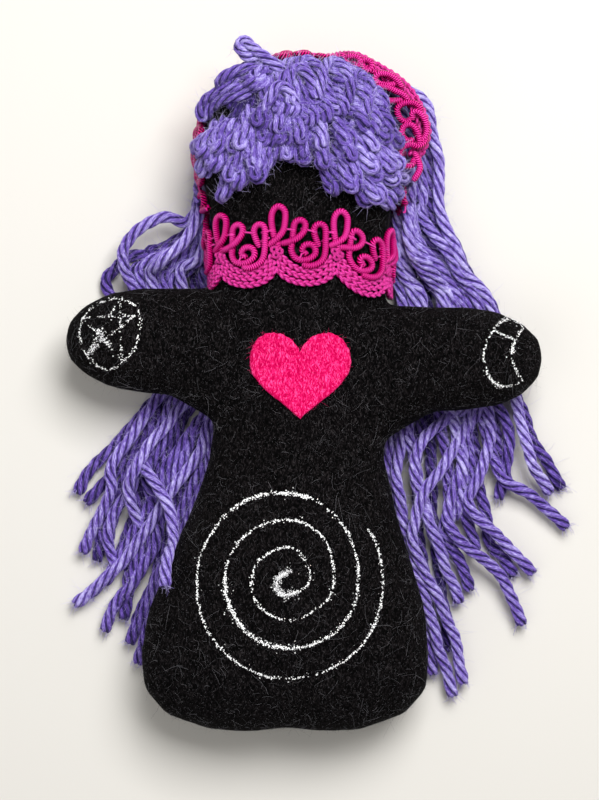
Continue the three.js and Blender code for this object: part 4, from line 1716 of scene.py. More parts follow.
    def plait(self, line: Array, out: Array) -> None:
        """Plaits one row of chain stitches, with painted light where each thread rises and painted shade where it
        dips.

        Args:
            line: Its middle, in even steps.
            out: Which way is off the felt, at each point.
        """
        side = unit(np.cross(np.gradient(line, axis=0), out))
        out = unit(out)
        turn = 2 * math.pi * np.arange(len(line)) * self.thread_step / (3 * self.chain_stitch)
        for start in around(3):
            phase = turn + start
            wide = side * (self.row_half_width * np.sin(phase))[:, None]
            high = out * (self.row_lift * np.sin(2 * phase))[:, None]
            # Painted light and shade: a thread is lighter where it rises and darker where it dips.
            tint = self.braid_shade + self.braid_painted_shading * np.sin(2 * phase)
            self.braid.add_tube(line + wide + high, self.thread_radius, self.thread_sides, tint)

    def lay_motif(self, start: float, place: Place) -> None:
        """Lays one whole motif.

        Args:
            start: The motif's middle along the band.
            place: Turns distance along, distance up and height to a point.
        """
        for points in (self.medium, self.third, self.tall):
            self.lay_cord(points, start, place)
        for points in self.rows:
            run = rounded([(*self.flat(pixel), self.row_height) for pixel in points], self.thread_step)
            self.plait(*self.follow(run, start, place))
        for pixel in self.knots:
            along, up = self.flat(pixel)
            ring = [(along + self.knot_radius * math.cos(a), up + self.knot_radius * math.sin(a),
                     self.knot_lift + self.knot_wave * math.cos(2 * a))
                    for a in np.linspace(0, 2 * math.pi, self.knot_points)]
            line = spaced(self.follow(ring, start, place)[0], self.knot_step)
            self.braid.add_tube(line, self.knot_thread, self.knot_sides, self.knot_shade)
        for x, y, far_x, far_y in self.ties:
            near, far = self.flat((x, y)), self.flat((far_x, far_y))
            run = [(*spot, lift) for spot, lift in zip((near, near, far, far), self.tie_lifts)]
            line = rounded(self.follow(run, start, place)[0], self.tie_step)
            self.braid.add_tube(line, self.tie_radius, self.tie_sides, self.tie_shade)

    def build(self, replaced: str) -> list[Piece]:
        """Makes what has been laid.

        Args:
            replaced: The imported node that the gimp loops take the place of.

        Returns:
            The gimp loops and the braid.
        """
        names = (f"{self.name}_gimp_loops", f"{self.name}_braid")
        return make_pair((self.cords, self.braid), names, (Finish.TRIM_GIMP, Finish.BRAID_GIMP), (replaced,))


@dataclass
class Collar:
    """The lace round the neck, in millimetres."""

    lace: LoopedLace
    lower_edge: float = 97.2
    motifs: int = 8
    first_middle: float = 2.2
    lift: float = 0.35
    sections: int = 12
    span: Span = (92.0, 130.0)
    points: int = 360
    measured_y: float = 110.0
    measured_lift: float = 1.65
    bend: Span = (98.5, 120.0)
    # How the lace sits round the neck: distance along, how far it is raised, and its height as a share.
    hang: Route = traced(
        "-60,0,1 -40,0.4,0.9 -28,0.6,0.88 -22,0.7,0.93 -14,0.9,0.96 -6,1.2,0.95 2,1.3,0.95 10,1.2,0.94 "
        "16,0.2,0.915 21,-1.4,0.9 27.5,-2.8,0.9 38,-3.6,0.85 52,-1.5,0.95 70,0,1")

    def __post_init__(self) -> None:
        """Measures the neck at several heights, for placing points round it."""
        self.heights = np.linspace(*self.span, self.sections)
        self.outlines = [HEAD.section(y, self.lift, self.points) for y in self.heights]
        reference = HEAD.section(self.measured_y, self.measured_lift, self.points)
        self.lengths = distances(np.vstack([reference, reference[:1]]))

    def place(self, along: float, up: float, lift: float) -> Array:
        """A point on the neck.

        Args:
            along: Distance round from the middle of the front towards +X.
            up: Distance above the lace's lower edge.
            lift: Height over the felt.

        Returns:
            The point.
        """
        whole = self.lengths[-1]
        places, raised, shares = zip(*self.hang)
        signed = (along + whole / 2) % whole - whole / 2
        y = self.lower_edge + float(np.interp(signed, places, raised))
        y += up * float(np.interp(signed, places, shares))
        turn = float(np.interp(along % whole, self.lengths, np.arange(self.points + 1))) % self.points
        level = float(np.clip((y - self.span[0]) / (self.span[1] - self.span[0]), 0, 1)) * (self.sections - 1)
        low = min(int(level), self.sections - 2)
        at, share = int(turn), turn - int(turn)
        corners = []
        for outline in (self.outlines[low], self.outlines[low + 1]):
            here, after = outline[at % self.points], outline[(at + 1) % self.points]
            corners.append((here + (after - here) * share, after - here))
        mix = level - low
        spot = corners[0][0] * (1 - mix) + corners[1][0] * mix
        run = corners[0][1] * (1 - mix) + corners[1][1] * mix
        out = unit(np.array([-run[2], 0, run[0]]))
        spot = spot + out * lift
        spot[1] = y
        return spot

    def build(self) -> list[Piece]:
        """Lays the collar's motifs.

        Returns:
            The gimp loops and the braid.
        """
        pitch = self.lengths[-1] / self.motifs
        for number in range(self.motifs):
            self.lace.lay_motif(self.first_middle + number * pitch, self.place)
        return bend_at_neck(self.lace.build("collar_trim"), "gimp_lace", *self.bend)


@dataclass
class HeadBand:
    """The same lace round the rim of the head, turned to the front at the upper right, in millimetres."""

    lace: LoopedLace
    back_z: float = 9.0
    front_z: float = 30.5
    low_y: float = 126.0
    rim_lift: float = 0.5
    flatness: float = 0.6
    lace_height: float = 29.0
    lace_span: Span = (-0.02, 1.03)
    bow: float = 0.06
    bow_middle: float = 0.6
    bow_power: float = 1.4
    hem_upwards: float = 25.0
    hem_low: float = 12.0
    top_degrees: float = 72.0
    middle_y: float = 140.0
    right_y: float = 146.0
    left_motifs: int = 6
    face_lift: float = 2.4
    least_z: float = 32.5
    face_out: tuple[float, float, float] = (0.15, 0.1, 1.0)
    # Runs of cord on the part that faces the view: pixel x, pixel y and height over the next run below.
    curls: tuple[Route, ...] = all_traced(
        "342,53,0 345,60,0 351,67,0 358,66,0 360,60,0.4 354,56,0.8 346,57,1",
        "360,62,0 367,60,0.5 372,64,1 370,70,1 364,69,0.6 363,63,0",
        "366,66,0 374,72,0 384,74,0 392,79,0",
        "398,82,0 390,85,0.5 380,84,1 375,79,1 379,74,1 389,74.5,1 397,80,1 403,88,1",
        "404,99,0 393,101,0.5 383,99,1 376.5,93,1 378,87,1.2 386,87,1.4 396,91,1.5 404,95,1.2 409,101,0.6",
        "410,118,0.6 407,122,1 400.5,119,1 397,110,1 402,104,1 411,102.5,1 418,105.5,1 422,112,0.8",
        "413,120,0.4 412.5,113,1 418,112,1.4 424,118,1.6 427,128,1.4 425,137,1 420,139,0.8 416,132,0.8 "
            "413.5,124,0.6",
        "414,139,0.6 408,141,1 402,135,1.2 403.5,127,1.2 410,124.5,1.6 416,129,1.8 419,137,1.6 420,146,0.8",
        "414,158,0.6 412,165,1 404.5,165.5,1 399.5,157,1 402,148,1 410,144.5,1.2 418,146,1.2 424,143,0.8 "
            "427,136,0.4",
        "414,152,0.2 418,160,0.8 420,168,1 417,175,1 413,181,0.6")
    hem: Route = traced(
        "322,52 332,51 343,51 353,53 362,56 384,68 402,80 415,95 424,112 429,130 426,146 419,158")
    hem_y: float = 135.0
    brow_pixel: Pixel = (306.0, 130.0)
    twist_pixels: Pixel = (324.0, 357.0)
    # Rows of chain along it: pixels inwards and height, and the same where it twists down to run edge-on.
    hem_rows: Route = traced("1,25.2,9,11 0.5,28,7,13.5 5,30.2,5.5,16 10,31.4,4.5,18.5")

    def rim_places(self) -> Array:
        """Follows the rim from the lower left to where the band turns to the front.

        Returns:
            Its places as x and y, in even steps.
        """
        rows = []
        for y in np.linspace(self.low_y, HEAD.top_y - HEAD.crown_reach, 5)[:-1]:
            half, _, _ = HEAD.sizes(float(y), self.rim_lift)
            rows.append((HEAD.centre_x - half, float(y)))
        for degrees in np.linspace(180, self.top_degrees, 9):
            rows.append(tuple(HEAD.rim(math.radians(float(degrees)), self.rim_lift)))
        return rounded(rows, 0.5)

    def lay_edge_on(self, places: Array, motifs: int) -> None:
        """Lays motifs on a stretch whose width runs straight back.

        Args:
            places: The stretch, as x and y in even steps.
            motifs: How many motifs fill it.
        """
        length = distances(places)[-1]
        out = unit(np.gradient(places, axis=0)) @ np.array([[0.0, 1.0], [-1.0, 0.0]])
        away = places - np.array([HEAD.centre_x, self.middle_y])
        out = out * np.sign((out * away).sum(axis=1, keepdims=True))

        def place(along: float, up: float, lift: float) -> Array:
            """A point of the stretch.

            Args:
                along: Distance along it.
                up: Distance up the lace.
                lift: Height over the felt.

            Returns:
                The point.
            """
            at = int(np.clip(along / length, 0, 1) * (len(places) - 1))
            share = float(np.clip(up / self.lace_height, *self.lace_span))
            # The rim curves away in front of the seam and behind it.
            bow = self.bow * (abs(share - self.bow_middle) * self.lace_height) ** self.bow_power
            x, y = places[at] + out[at] * (self.flatness * lift - bow)
            return np.array([x, y, self.back_z + share * (self.front_z - self.back_z)])

        for number in range(motifs):
            self.lace.lay_motif((number + 0.5) * length / motifs, place)

    def lay_hem(self) -> None:
        """Lays the rows of chain along the part that faces the view, twisted down where it starts."""
        hem = np.array(self.hem)
        inwards = unit(np.array(self.brow_pixel) - hem)
        turned = smoothstep(hem[:, 0], *self.twist_pixels)[:, None]
        for shift, height, low_shift, low_height in self.hem_rows:
            places = hem + (low_shift + (shift - low_shift) * turned) * inwards
            heights = low_height + (height - low_height) * turned[:, 0]
            line = rounded([VIEW.at((x, y), z) for (x, y), z in zip(places, heights)], self.lace.thread_step)
            away = line - np.array([HEAD.centre_x, self.hem_y, 0.0])
            away[:, 2] = self.hem_upwards * smoothstep(line[:, 2], self.hem_low, height)
            self.lace.plait(line, away)

    def build(self) -> list[Piece]:
        """Lays the band.

        Returns:
            The gimp loops and the braid.
        """
        self.lay_edge_on(self.rim_places(), self.left_motifs)
        half, _, _ = HEAD.sizes(self.middle_y, self.rim_lift + 0.6)
        right = [(HEAD.centre_x + half, float(y)) for y in np.linspace(self.right_y, self.low_y - 2, 40)]
        self.lay_edge_on(np.array(right), 1)
        for curl in self.curls:
            spots = [HEAD.behind((x, y), 32.0, self.face_lift, self.least_z, lift) for x, y, lift in curl]
            line = spaced(rounded(spots, 0.5), self.lace.cord_step)
            self.lace.lay_gimp(line, np.broadcast_to(np.array(self.face_out), line.shape))
        self.lay_hem()
        return carry(self.lace.build("head_band_trim"), "gimp_lace", "head")


# Hair


@dataclass(frozen=True)
class HairStrand:
    """One long strand: its layer from the table up, and its routes below and above the arm, in pixels."""

    layer: int
    below: str
    above: str


class Side(Enum):
    """The two sides of the hair, by the sign of X."""

    LEFT = -1
    RIGHT = 1


LEFT_STRANDS = (
    HairStrand(0, "150,405 130,428 112,449 97,463 84,478 77,494",
               "204,150 201,200 194,228 163,251 145,264 133,284 126,330"),
    HairStrand(0, "156,402 144,440 124,462 111,476 99,488 87,503",
               "206,160 202,210 181,241 157,254 134,256 115,268 109,292 122,340"),
    HairStrand(2, "157,398 143,419 129,440 116,458 110,472 111,490 104,508 93,528 84,552",
               "208,150 201,195 189,221 165,217.5 140,228 125,246 124,262 132,287 138,330"),
    HairStrand(3, "174,413 162,431 148,447 137.5,462 131.5,477 129,490 131,506 137,518 144,532",
               "210,170 200,214 181,245 161,262 151,284 150,340"),
    HairStrand(1, "190,433 180,447 166,468 157,490 140,520 126,548 107,575 90,596",
               "212,190 204,232 189,250 173,264 155,286 170,350"),
    HairStrand(2, "207,427 203,447 193,462 180,478 170,494 158,511 148,527 137,543 121,564 97,586 74,605",
               "214,190 205,240 197,262 181,280 184,350"),
    HairStrand(1, "209,441 203,466 192,488 184,506 176,530 166,560 152,590 140,620 129,643",
               "214,200 208,250 203,275 200,350"),
    HairStrand(2, "212,450 206,480 194,510 182,535 172,565 160,596 148,630 137,664",
               "216,200 211,250 210,280 208,350"),
    HairStrand(1, "196,425 186,450 172,480 163,510 156,540 141,572 121,596 112,612 104,631",
               "211,180 202,236 183,262 165,288 180,350"),
    HairStrand(1, "168,410 156,440 142,468 128,492 114,515 107,535 111,550 115,566 104,584",
               "207,160 198,224 175,250 148,262 143,286 150,345"),
    HairStrand(0, "184,415 172,442 158,470 148,500 142,530 131,560 128,590 124,620",
               "208,180 198,236 175,258 157,288 166,350"),
    HairStrand(0, "202,420 194,450 184,480 174,515 166,545 156,575 146,600 136,624",
               "214,210 209,260 195,290 192,350"),
    HairStrand(0, "162,408 148,436 137,458 126,480 114,500 104,524 100,545 96,560",
               "205,165 194,224 165,247 149,252 141,290 140,345"),
    HairStrand(1, "178,412 168,436 152,458 147,478 152,505 146,540 135,566 126,594 112,610",
               "212,200 203,246 191,268 169,290 172,350"),
    HairStrand(0, "214,440 208,470 198,498 190,525 180,552 170,585 156,618 144,640",
               "217,210 213,260 213,290 212,350"),
    HairStrand(0, "176,420 160,446 147,470 140,492 134,516 124,544 112,566",
               "209,170 199,228 180,252 155,270 148,292 152,345"),
    HairStrand(0, "166,415 150,438 136,458 125,478 119,500 113,522 106,546",
               "208,176 198,230 176,256 150,274 146,296 150,345"),
)

RIGHT_STRANDS = (
    HairStrand(2, "515.5,399.5 521,421 525.5,443 532,462 540,476 549,494",
               "419,96 436,150 440,180 438,207 447,228 456,251 466,273 489,303 508,350"),
    HairStrand(0, "519,402 528,428 536,445 545,460 554,474 562,488",
               "419,110 433,160 436,200 445,224 457,250 470,277 492,306 512,350"),
    HairStrand(1, "498,405 506,423 510,443 508,460 502,478 499,499",
               "415,130 427,170 431,205 441,232 454,258 465,280 482,305 494,350"),
    HairStrand(0, "490,408 496,430 500,450 505,468 509,490",
               "413,130 425,180 427,214 437,240 451,262 461,284 476,305 486,350"),
    HairStrand(1, "480,412 488,440 494,462 503,478 518,488 532,497 549,510 567,528",
               "411,140 421,190 423,222 433,246 445,264 455,284 468,305 476,350"),
    HairStrand(2, "488,411 490,440 483,466 474,486 468,500 476,515 490,529 504,543 519,557 532,573",
               "413,146 423,190 419,210 432,232 447,252 459,273 477,303 482,350"),
    HairStrand(0, "470,412 474,440 478,470 482,500 487,520 491,545 503.5,560 515,575",
               "405,160 415,200 419,230 429,252 441,270 456,290 460,308 464,350"),
    HairStrand(2, "476,412 466,436 461,464 455,488 448,508 447,522 456,535 469,548 486,562 502,577 512,598 "
               "521,624",
               "407,150 417,196 413,226 423,248 437,266 449,285 462,306 470,350"),
    HairStrand(3, "473,411 464,430 453.6,449 438.5,473 425.4,491 417,508 414,527 413,545 423,569 436,595 "
               "449,623 458,653 463,683",
               "403,170 411,206 407,234 417,256 431,272 448,290 456,308 462,350"),
    HairStrand(2, "410,418 402,440 397,465 398,490 404,520 411,553 421,586 430,614 438.5,647 447,673 "
               "454,696",
               "395,190 398,226 397,254 403,276 414,300 412,350"),
    HairStrand(1, "396,428 388,452 389,482 397,514 405,545 414,580 421,612 428,642 434,674",
               "393,196 395,236 395,266 402,300 400,350"),
    HairStrand(2, "408,421 411,447 417,471 423,500 432,528 443,560 452,582 459,603",
               "397,186 403,226 403,256 411,280 422,304 414,350"),
    HairStrand(1, "440,418 444,444 448,470 449,495 447,515 443,530 453.6,551 464,571 471,590",
               "399,180 407,216 409,240 419,262 429,284 442,306 442,350"),
    HairStrand(2, "452,415 458,440 462,465 462,490 456,512 450,522",
               "401,170 411,210 415,236 425,258 439,278 450,306 452,350"),
    HairStrand(3, "447,417 432,430 420,446 414,462 417,482 424,506 434,535 444,562",
               "401,186 409,226 411,250 423,270 438,290 444,306 446,350"),
    HairStrand(0, "430,420 430,445 432,475 432,505 436,540 440,580 446,620 452,650",
               "397,190 403,232 405,258 415,280 428,304 430,350"),
    HairStrand(0, "420,420 418,450 416,480 418,520 422,560 428,600 436,635 441,660",
               "395,196 399,240 399,266 407,286 416,304 420,350"),
    HairStrand(1, "462,412 468,440 470,462 468,486 464,508 470,530 476,550",
               "403,160 413,206 417,240 429,262 441,282 454,306 460,350"),
)


@dataclass
class LongHair:
    """The long hair of one side, which hangs from the head and passes under the arm."""

    side: Side
    strands: tuple[HairStrand, ...]
    replaced: tuple[str, ...]
    yarn: PliedYarn
    fuzz_per_mm: float = 1.3
    layer_heights: tuple[float, ...] = (2.6, 6.9, 10.6, 14.6)
    # The lowest tint of each layer: what lies below others is darker, as painted shade.
    layer_painted_shades: tuple[float, ...] = (0.24, 0.34, 0.42, 0.48)
    part_y: float = 170.0
    bend: Span = (100.0, 150.0)
    arm_clear: float = 8.6
    arm_pixels: Pixel = (252.0, 292.0)
    hidden_pixels: float = 34.0
    pile_rise: float = 1.2
    wave: float = 0.3
    wave_length: Span = (2.4, 4.2)
    # Where the strands start beside the parting, and the way down from there.
    part_away: float = 1.5
    part_width: float = 9.0
    part_slope: float = 5.0
    part_height: float = 7.0
    level_ahead: float = 3.0
    level_height: float = 3.2
    level_rise: float = 0.7
    # A strand rises to its layer in a part of its fall, and sinks to the table over the last part.
    layer_rate: float = 3.0
    sink_share: float = 0.55
    sink_length: float = 0.45
    sink_depth: float = 0.85
    table_height: float = 3.0
    uneven: float = 0.3
    shade_spread: float = 0.14
    seed: int = 5

    def route(self, strand: HairStrand, number: int, rng: np.random.Generator) -> Array:
        """Leads a strand from the parting to its end.

        Args:
            strand: The strand.
            number: Its place in the bundle, which spreads the starts along the parting.
            rng: Source of small differences.

        Returns:
            Points along its centreline.
        """
        below, above = traced(strand.below), traced(strand.above)
        own = self.layer_heights[strand.layer]
        under = min(own, self.arm_clear)
        first = VIEW.at(above[0], under)
        share = number / len(self.strands)
        start_x = HEAD.centre_x + self.side.value * (self.part_away + self.part_width * share)
        start_z = self.part_height + rng.uniform(-1, 1)
        start = np.array([start_x, self.part_y - self.part_slope * share, start_z])
        level = (start + first) / 2
        level[1] += self.level_ahead
        level[2] = self.level_height + self.level_rise * strand.layer
        rows = [start, level]
        for x, y in above[:-1]:
            # Above the arm the strands lie over one another, and they press flat to pass below it.
            free = float(1 - smoothstep(y, *self.arm_pixels))
            rows.append(VIEW.at((x, y), under + (own - under + self.pile_rise * strand.layer) * free))
        ahead = unit(np.array(below[0]) - np.array(below[1]))
        rows.append(VIEW.at(np.array(below[0]) + self.hidden_pixels * ahead, under))
        for at, pixel in enumerate(below):
            fall = at / (len(below) - 1)
            lift = under + (own - under) * min(1, self.layer_rate * fall)
            sunk = (lift - self.table_height) * max(0, fall - self.sink_share) / self.sink_length
            lift = lift - sunk * self.sink_depth
            rows.append(VIEW.at(pixel, lift + rng.uniform(-self.uneven, self.uneven)))
        line = rounded(rows, self.yarn.step)
        along = np.arange(len(line)) * self.yarn.step
        for axis in (0, 1):
            length = rng.uniform(*self.wave_length)
            line[:, axis] += self.wave * np.sin(along / length + rng.uniform(0, 6))
        return line

    def build(self) -> list[Piece]:
        """Lays the strands and their loose fibres.

        Returns:
            The strands and the fibres.
        """
        rng = np.random.default_rng(self.seed + self.side.value)
        strands, fibres = MeshPile(), MeshPile()
        for number, strand in enumerate(self.strands):
            line = self.route(strand, number, rng)
            # Painted shade: strands of lower layers get darker tints.
            shade = self.layer_painted_shades[strand.layer]
            self.yarn.lay(strands, line, rng, shades=(shade, shade + self.shade_spread))
            self.yarn.fuzz(fibres, line, rng, self.fuzz_per_mm)
            self.yarn.tuft(fibres, line, rng)
        pieces = make_hair(f"long_hair_{self.side.name.lower()}", strands, fibres, self.replaced)
        return bend_at_neck(pieces, "yarn", *self.bend)


@dataclass
class FrontStrand:
    """The strand that climbs over the edge of the body on the left."""

    yarn: PliedYarn
    body: FeltBody
    # Pixel x, pixel y and height. Where it reaches the felt it lies on it.
    route: Route = traced(
        "138,462,11 144,468,13 152,479,15 162,494,17 169,508,19 172.5,524,20.5 173.5,542,22.5 172,562,25 "
        "169.5,588,27.5")
    lift: float = 2.2
    rest_below_seam: float = 4.0
    fuzz_per_mm: float = 0.8
    seed: int = 3

    def build(self) -> list[Piece]:
        """Lays the strand.

        Returns:
            The strand and its loose fibres.
        """
        rng = np.random.default_rng(self.seed)
        pile, fibres = MeshPile(), MeshPile()
        rows = []
        for x, y, z in self.route:
            found = self.body.front((x, y))
            resting = found is not None and found[0][2] > HEAD.seam_height - self.rest_below_seam
            rows.append(found[0] + found[1] * self.lift if resting else VIEW.at((x, y), z))
        line = rounded(rows, self.yarn.step)
        self.yarn.lay(pile, line, rng, cut_start=True)
        self.yarn.fuzz(fibres, line, rng, self.fuzz_per_mm)
        self.yarn.tuft(fibres, line, rng)
        self.yarn.tuft(fibres, line[::-1], rng)
        return carry(make_hair("front_strand", pile, fibres, ("hair_strand_front",)), "yarn", "torso")


@dataclass
class CrownHair:
    """The yarn laid over the back and sides of the head, in millimetres."""

    yarn: PliedYarn
    strands: int = 30
    low_y: float = 128.0
    high_y: float = 176.8
    lift: float = 2.2
    # Strands beside the band on the right: how far outside the felt, and at what height.
    beside_band: Route = traced("1.8,20 2,15.5 1.8,11 3.6,22.5 5.4,18.5 5.6,14")
    beside_degrees: tuple[int, ...] = (76, 67, 58, 49, 40, 28, 14, 2)
    beside_start: float = 74.0
    beside_fade: Span = (-4.0, 20.0)
    beside_tuck: float = 1.2
    beside_low: float = 8.0
    beside_ends: Span = (138.0, 129.0)
    # How a strand down the back fans out from the parting, and how it sways.
    fan_start: float = 0.16
    fan_reach: float = 0.84
    fan_power: float = 0.8
    points: int = 9
    sway: float = 0.5
    sway_turn: float = 5.0
    stagger: float = 0.8
    sunk: float = 0.1
    lowest: float = 2.5
    fuzz_over: float = 0.2
    fuzz_beside: float = 0.5
    seed: int = 17

    def beside(self, grow: float, height: float) -> Array:
        """Leads a strand along the rim on the right, beside the band.

        Args:
            grow: How far outside the felt.
            height: Its height.

        Returns:
            Points along its centreline.
        """
        rows = []
        for degrees in self.beside_degrees:
            share = float(smoothstep(self.beside_start - degrees, *self.beside_fade))
            x, y = HEAD.rim(math.radians(degrees), grow * share - self.beside_tuck * (1 - share))
            rows.append((x, y, self.beside_low + (height - self.beside_low) * share))
        rows += [(HEAD.centre_x + HEAD.head_half + grow, y, height - 2) for y in self.beside_ends]
        return rounded(rows, self.yarn.step)

    def over(self, number: int) -> Array:
        """Leads a strand from the parting down the back of the head.

        Args:
            number: Its number, from the left.

        Returns:
            Points along its centreline.
        """
        across = -1 + 2 * number / (self.strands - 1)
        line = []
        for share in np.linspace(0, 1, self.points):
            y = self.high_y - (self.high_y - self.low_y) * share
            half, _, back = HEAD.sizes(y, self.lift)
            fanned = self.fan_start + self.fan_reach * math.sin(share * math.pi / 2) ** self.fan_power
            reach = across * fanned
            depth = back * (1 - min(abs(reach), 1) ** HEAD.back_power) ** (1 / HEAD.back_power)
            x = HEAD.centre_x + half * reach + self.sway * math.sin(self.sway_turn * share + number)
            z = max(HEAD.seam_height - depth - self.sunk, self.lowest)
            line.append((x, y + self.stagger * (number % 2), z))
        return rounded(line, self.yarn.step)

    def build(self) -> list[Piece]:
        """Lays the strands down the back of the head and beside the band.

        Returns:
            The strands and their loose fibres.
        """
        rng = np.random.default_rng(self.seed)
        pile, fibres = MeshPile(), MeshPile()
        routes = [(self.over(number), self.fuzz_over) for number in range(self.strands)]
        routes += [(self.beside(grow, height), self.fuzz_beside) for grow, height in self.beside_band]
        for route, per_mm in routes:
            self.yarn.lay(pile, route, rng, cut_end=False)
            self.yarn.fuzz(fibres, route, rng, per_mm)
        return carry(make_hair("crown_hair", pile, fibres, ("hair_crown",)), "yarn", "head")


@dataclass
class Fringe:
    """The fringe: rows of folded yarn loops, laid like tiles from the lower edge up, in view pixels."""

    yarn: PliedYarn
    centre: Pixel = (300.0, 38.0)
    # Edge of the fringe: degrees from straight down towards the right, and pixels from the centre.
    edge: Route = traced(
        "-62,60 -56,80 -50,106 -45,129 -41,158 -37,168 -28,176 -20,164 -15.5,146 -12.5,118 -1,118 7,124 "
        "11,140 13,156 17,167 20,179 22,187 27,190 33,187 37,182 41,163 46,134 52,106 58,82")
    # How far each row's folds lie inside the edge, in pixels.
    row_insets: tuple[float, ...] = (0.0, 12.0, 25.0, 39.0, 55.0, 74.0, 97.0)
    # Loops over the middle of the brow: degrees and pixels from the centre.
    brow: Route = traced("-11,120 -5,119 1,120 -8,107 -2,107")
    loop_pixels: float = 40.0
    spacing_pixels: float = 18.5
    under_spacing_pixels: float = 9.0
    least_away: float = 36.0
    leg_gap: float = 1.6
    floor: float = 2.4
    first_rise: float = 1.6
    tile_rise: float = 4.8
    fold_share: float = 0.14
    loop_size: Span = (1.02, 1.18)
    stray_size: float = 0.94
    band_degrees: float = 36.0
    shades: Span = (0.36, 0.52)
    fuzz_per_mm: float = 4.0
    fuzz_length: Span = (0.9, 3.4)
    top_pixel: float = 66.0
    # The shape of one loop: how its length, its twist and its rise differ, and how its fold turns.
    length_spread: Span = (0.85, 1.15)
    centre_clear: float = 22.0
    spin: float = 1.3
    twist: float = 2.6
    rise_spread: Span = (-1.0, 1.4)
    rise_power: float = 1.3
    leg_lift: float = 1.3
    leg_points: int = 6
    fold_degrees: tuple[float, ...] = (30.0, 60.0, 90.0, 120.0, 150.0)
    fold_width: float = 1.12
    fold_sink: float = 0.7
    lowest: float = 2.2
    # The plain runs below the loops, tinted dark as painted shade in the gaps between them.
    under_margins: Span = (8.0, 10.0)
    under_near: tuple[float, ...] = (-3.0, 0.0, 3.0)
    under_reach: float = 14.0
    under_least: float = 24.0
    under_top_pixel: float = 61.0
    under_lift: float = 1.9
    under_size: float = 0.8
    under_painted_shades: Span = (0.08, 0.24)
    under_pixels: float = 60.0
    # How the loops are set in their rows, in degrees and pixels.
    row_start: float = 3.0
    row_shift: float = 4.0
    row_skip: float = 6.0
    reach_spread: Span = (-6.0, 3.0)
    least_length: float = 20.0
    stray_degrees: float = 3.0
    near_pixels: float = 40.0
    spacing_spread: Span = (0.9, 1.12)
    seed: int = 29
    stray: tuple[Route, ...] = all_traced(
        "290,79,44 279,68,46.5 268,59,47 258,52,46 251,46,45 246,41,44 240.5,41.5,43.5 239,47.5,43.5 "
            "243,53,44 249,57,44.5 258,59,44.5 268,66,44.5 278,75,45 288,84,44",
        "274,76,45 260,70,46.5 247,68.5,46 235,71,45 225,76,43.5 219,82,42 221,86.5,41 228,85.5,41.5 "
            "237,82,42.5 248,78,43.5 260,79,44.5 272,84,45",
        "262,88,45 246,88,44.5 232,89,43 220,91.5,41 210,96.5,39 204,103,37 200.5,111,35.5 201,117,34.5 "
            "205,117,34.5 209.5,110,36.5 215,104,38.5 224,99,41 236,96,43 252,95,44")
    # Curls over the top: pixel x, pixel y and height over the head.
    curls: tuple[Route, ...] = all_traced(
        "330,98,5 324,78,8 317,66,8 306,60,6.5 296,64,7.5 290,76,9 286,94,8",
        "350,96,5 350,80,8 343,67,7.5 332,61,6.5 324,67,8 321,81,9.5 318,99,8",
        "366,100,5 368,86,7.5 361,75,7.5 353,77,8 350,90,8.5 348,104,7",
        "314,90,8 309,76,9.5 301,68,9 292,70,8.5 283,79,8.5 276,94,7",
        "384,116,5 384,102,6.5 377,91,6.5 370,93,7 367,106,7.5 364,122,6",
        "298,112,6 292,96,9 284,86,9.5 276,88,9.5 270,98,9 262,112,7",
        "314,82,5 306,68,6 297,62,5 287,64,5 279,72,6 272,86,6")

    def edge_at(self, degrees: float) -> float:
        """How far the edge is from the centre in a direction, in pixels."""
        angles, reaches = zip(*self.edge)
        return float(np.interp(degrees, angles, reaches))

    def spot(self, pixel: Pixel, lift: float) -> Array:
        """A point at a height over the head, behind a pixel."""
        return HEAD.behind(pixel, 38.0, lift)

    def lay_loop(self, pile: MeshPile, fibres: MeshPile, line: Array, rng: np.random.Generator,
                 size: float | None = None) -> None:
        """Lays one loop of yarn and its loose fibres.

        Args:
            pile: The mesh that gets the loop.
            fibres: The mesh that gets the fibres.
            line: Its centreline.
            rng: Source of small differences.
            size: Its thickness as a share of the usual, or None to draw one.
        """
        size = rng.uniform(*self.loop_size) if size is None else size
        self.yarn.lay(pile, line, rng, cut_end=False, size=size, shades=self.shades)
        self.yarn.fuzz(fibres, line, rng, self.fuzz_per_mm, self.fuzz_length)

    def loop(self, degrees: float, reach: float, row: int, rng: np.random.Generator) -> Array:
        """Leads one folded loop down one leg and up the other.

        Args:
            degrees: Its direction from the centre.
            reach: How far its fold is from the centre, in pixels.
            row: Its row, from the lowest.
            rng: Source of small differences.

        Returns:
            Points along its centreline.
        """
        angle = math.radians(degrees)
        way = np.array([math.sin(angle), math.cos(angle)])
        side = np.array([way[1], -way[0]])
        length = min(self.loop_pixels * rng.uniform(*self.length_spread), reach - self.centre_clear)
        gap = self.leg_gap / VIEW.scale
        spin = rng.uniform(-self.spin, self.spin)
        rise = (self.tile_rise if row else self.first_rise) + rng.uniform(*self.rise_spread)
        fold = length * self.fold_share
        legs = []
        down = np.linspace(0, 1 - self.fold_share, self.leg_points)
        back = np.linspace(1 - self.fold_share, 0, self.leg_points)
        for run, sign in ((down, 1), (back, -1)):
            for share in run:
                twist = spin - self.twist * (1 - share)
                away = max(reach - length * (1 - share), self.least_away)
                lift = self.floor + rise * share**self.rise_power + sign * self.leg_lift * math.sin(twist)
                legs.append((away, sign * gap * math.cos(twist), lift))
            if sign == 1:
                for turn in np.radians(self.fold_degrees):
                    off = gap * self.fold_width * math.cos(turn) * math.cos(spin)
                    sunk = self.fold_sink * math.sin(turn) - self.leg_lift * math.cos(turn) * math.sin(spin)
                    legs.append((reach - fold + fold * math.sin(turn), off, self.floor + rise - sunk))
        points = []
        for away, off, lift in legs:
            x, y = np.array(self.centre) + way * away + side * off
            points.append(self.spot((x, max(y, self.top_pixel)), max(lift, self.lowest)))
        return rounded(points, self.yarn.step)

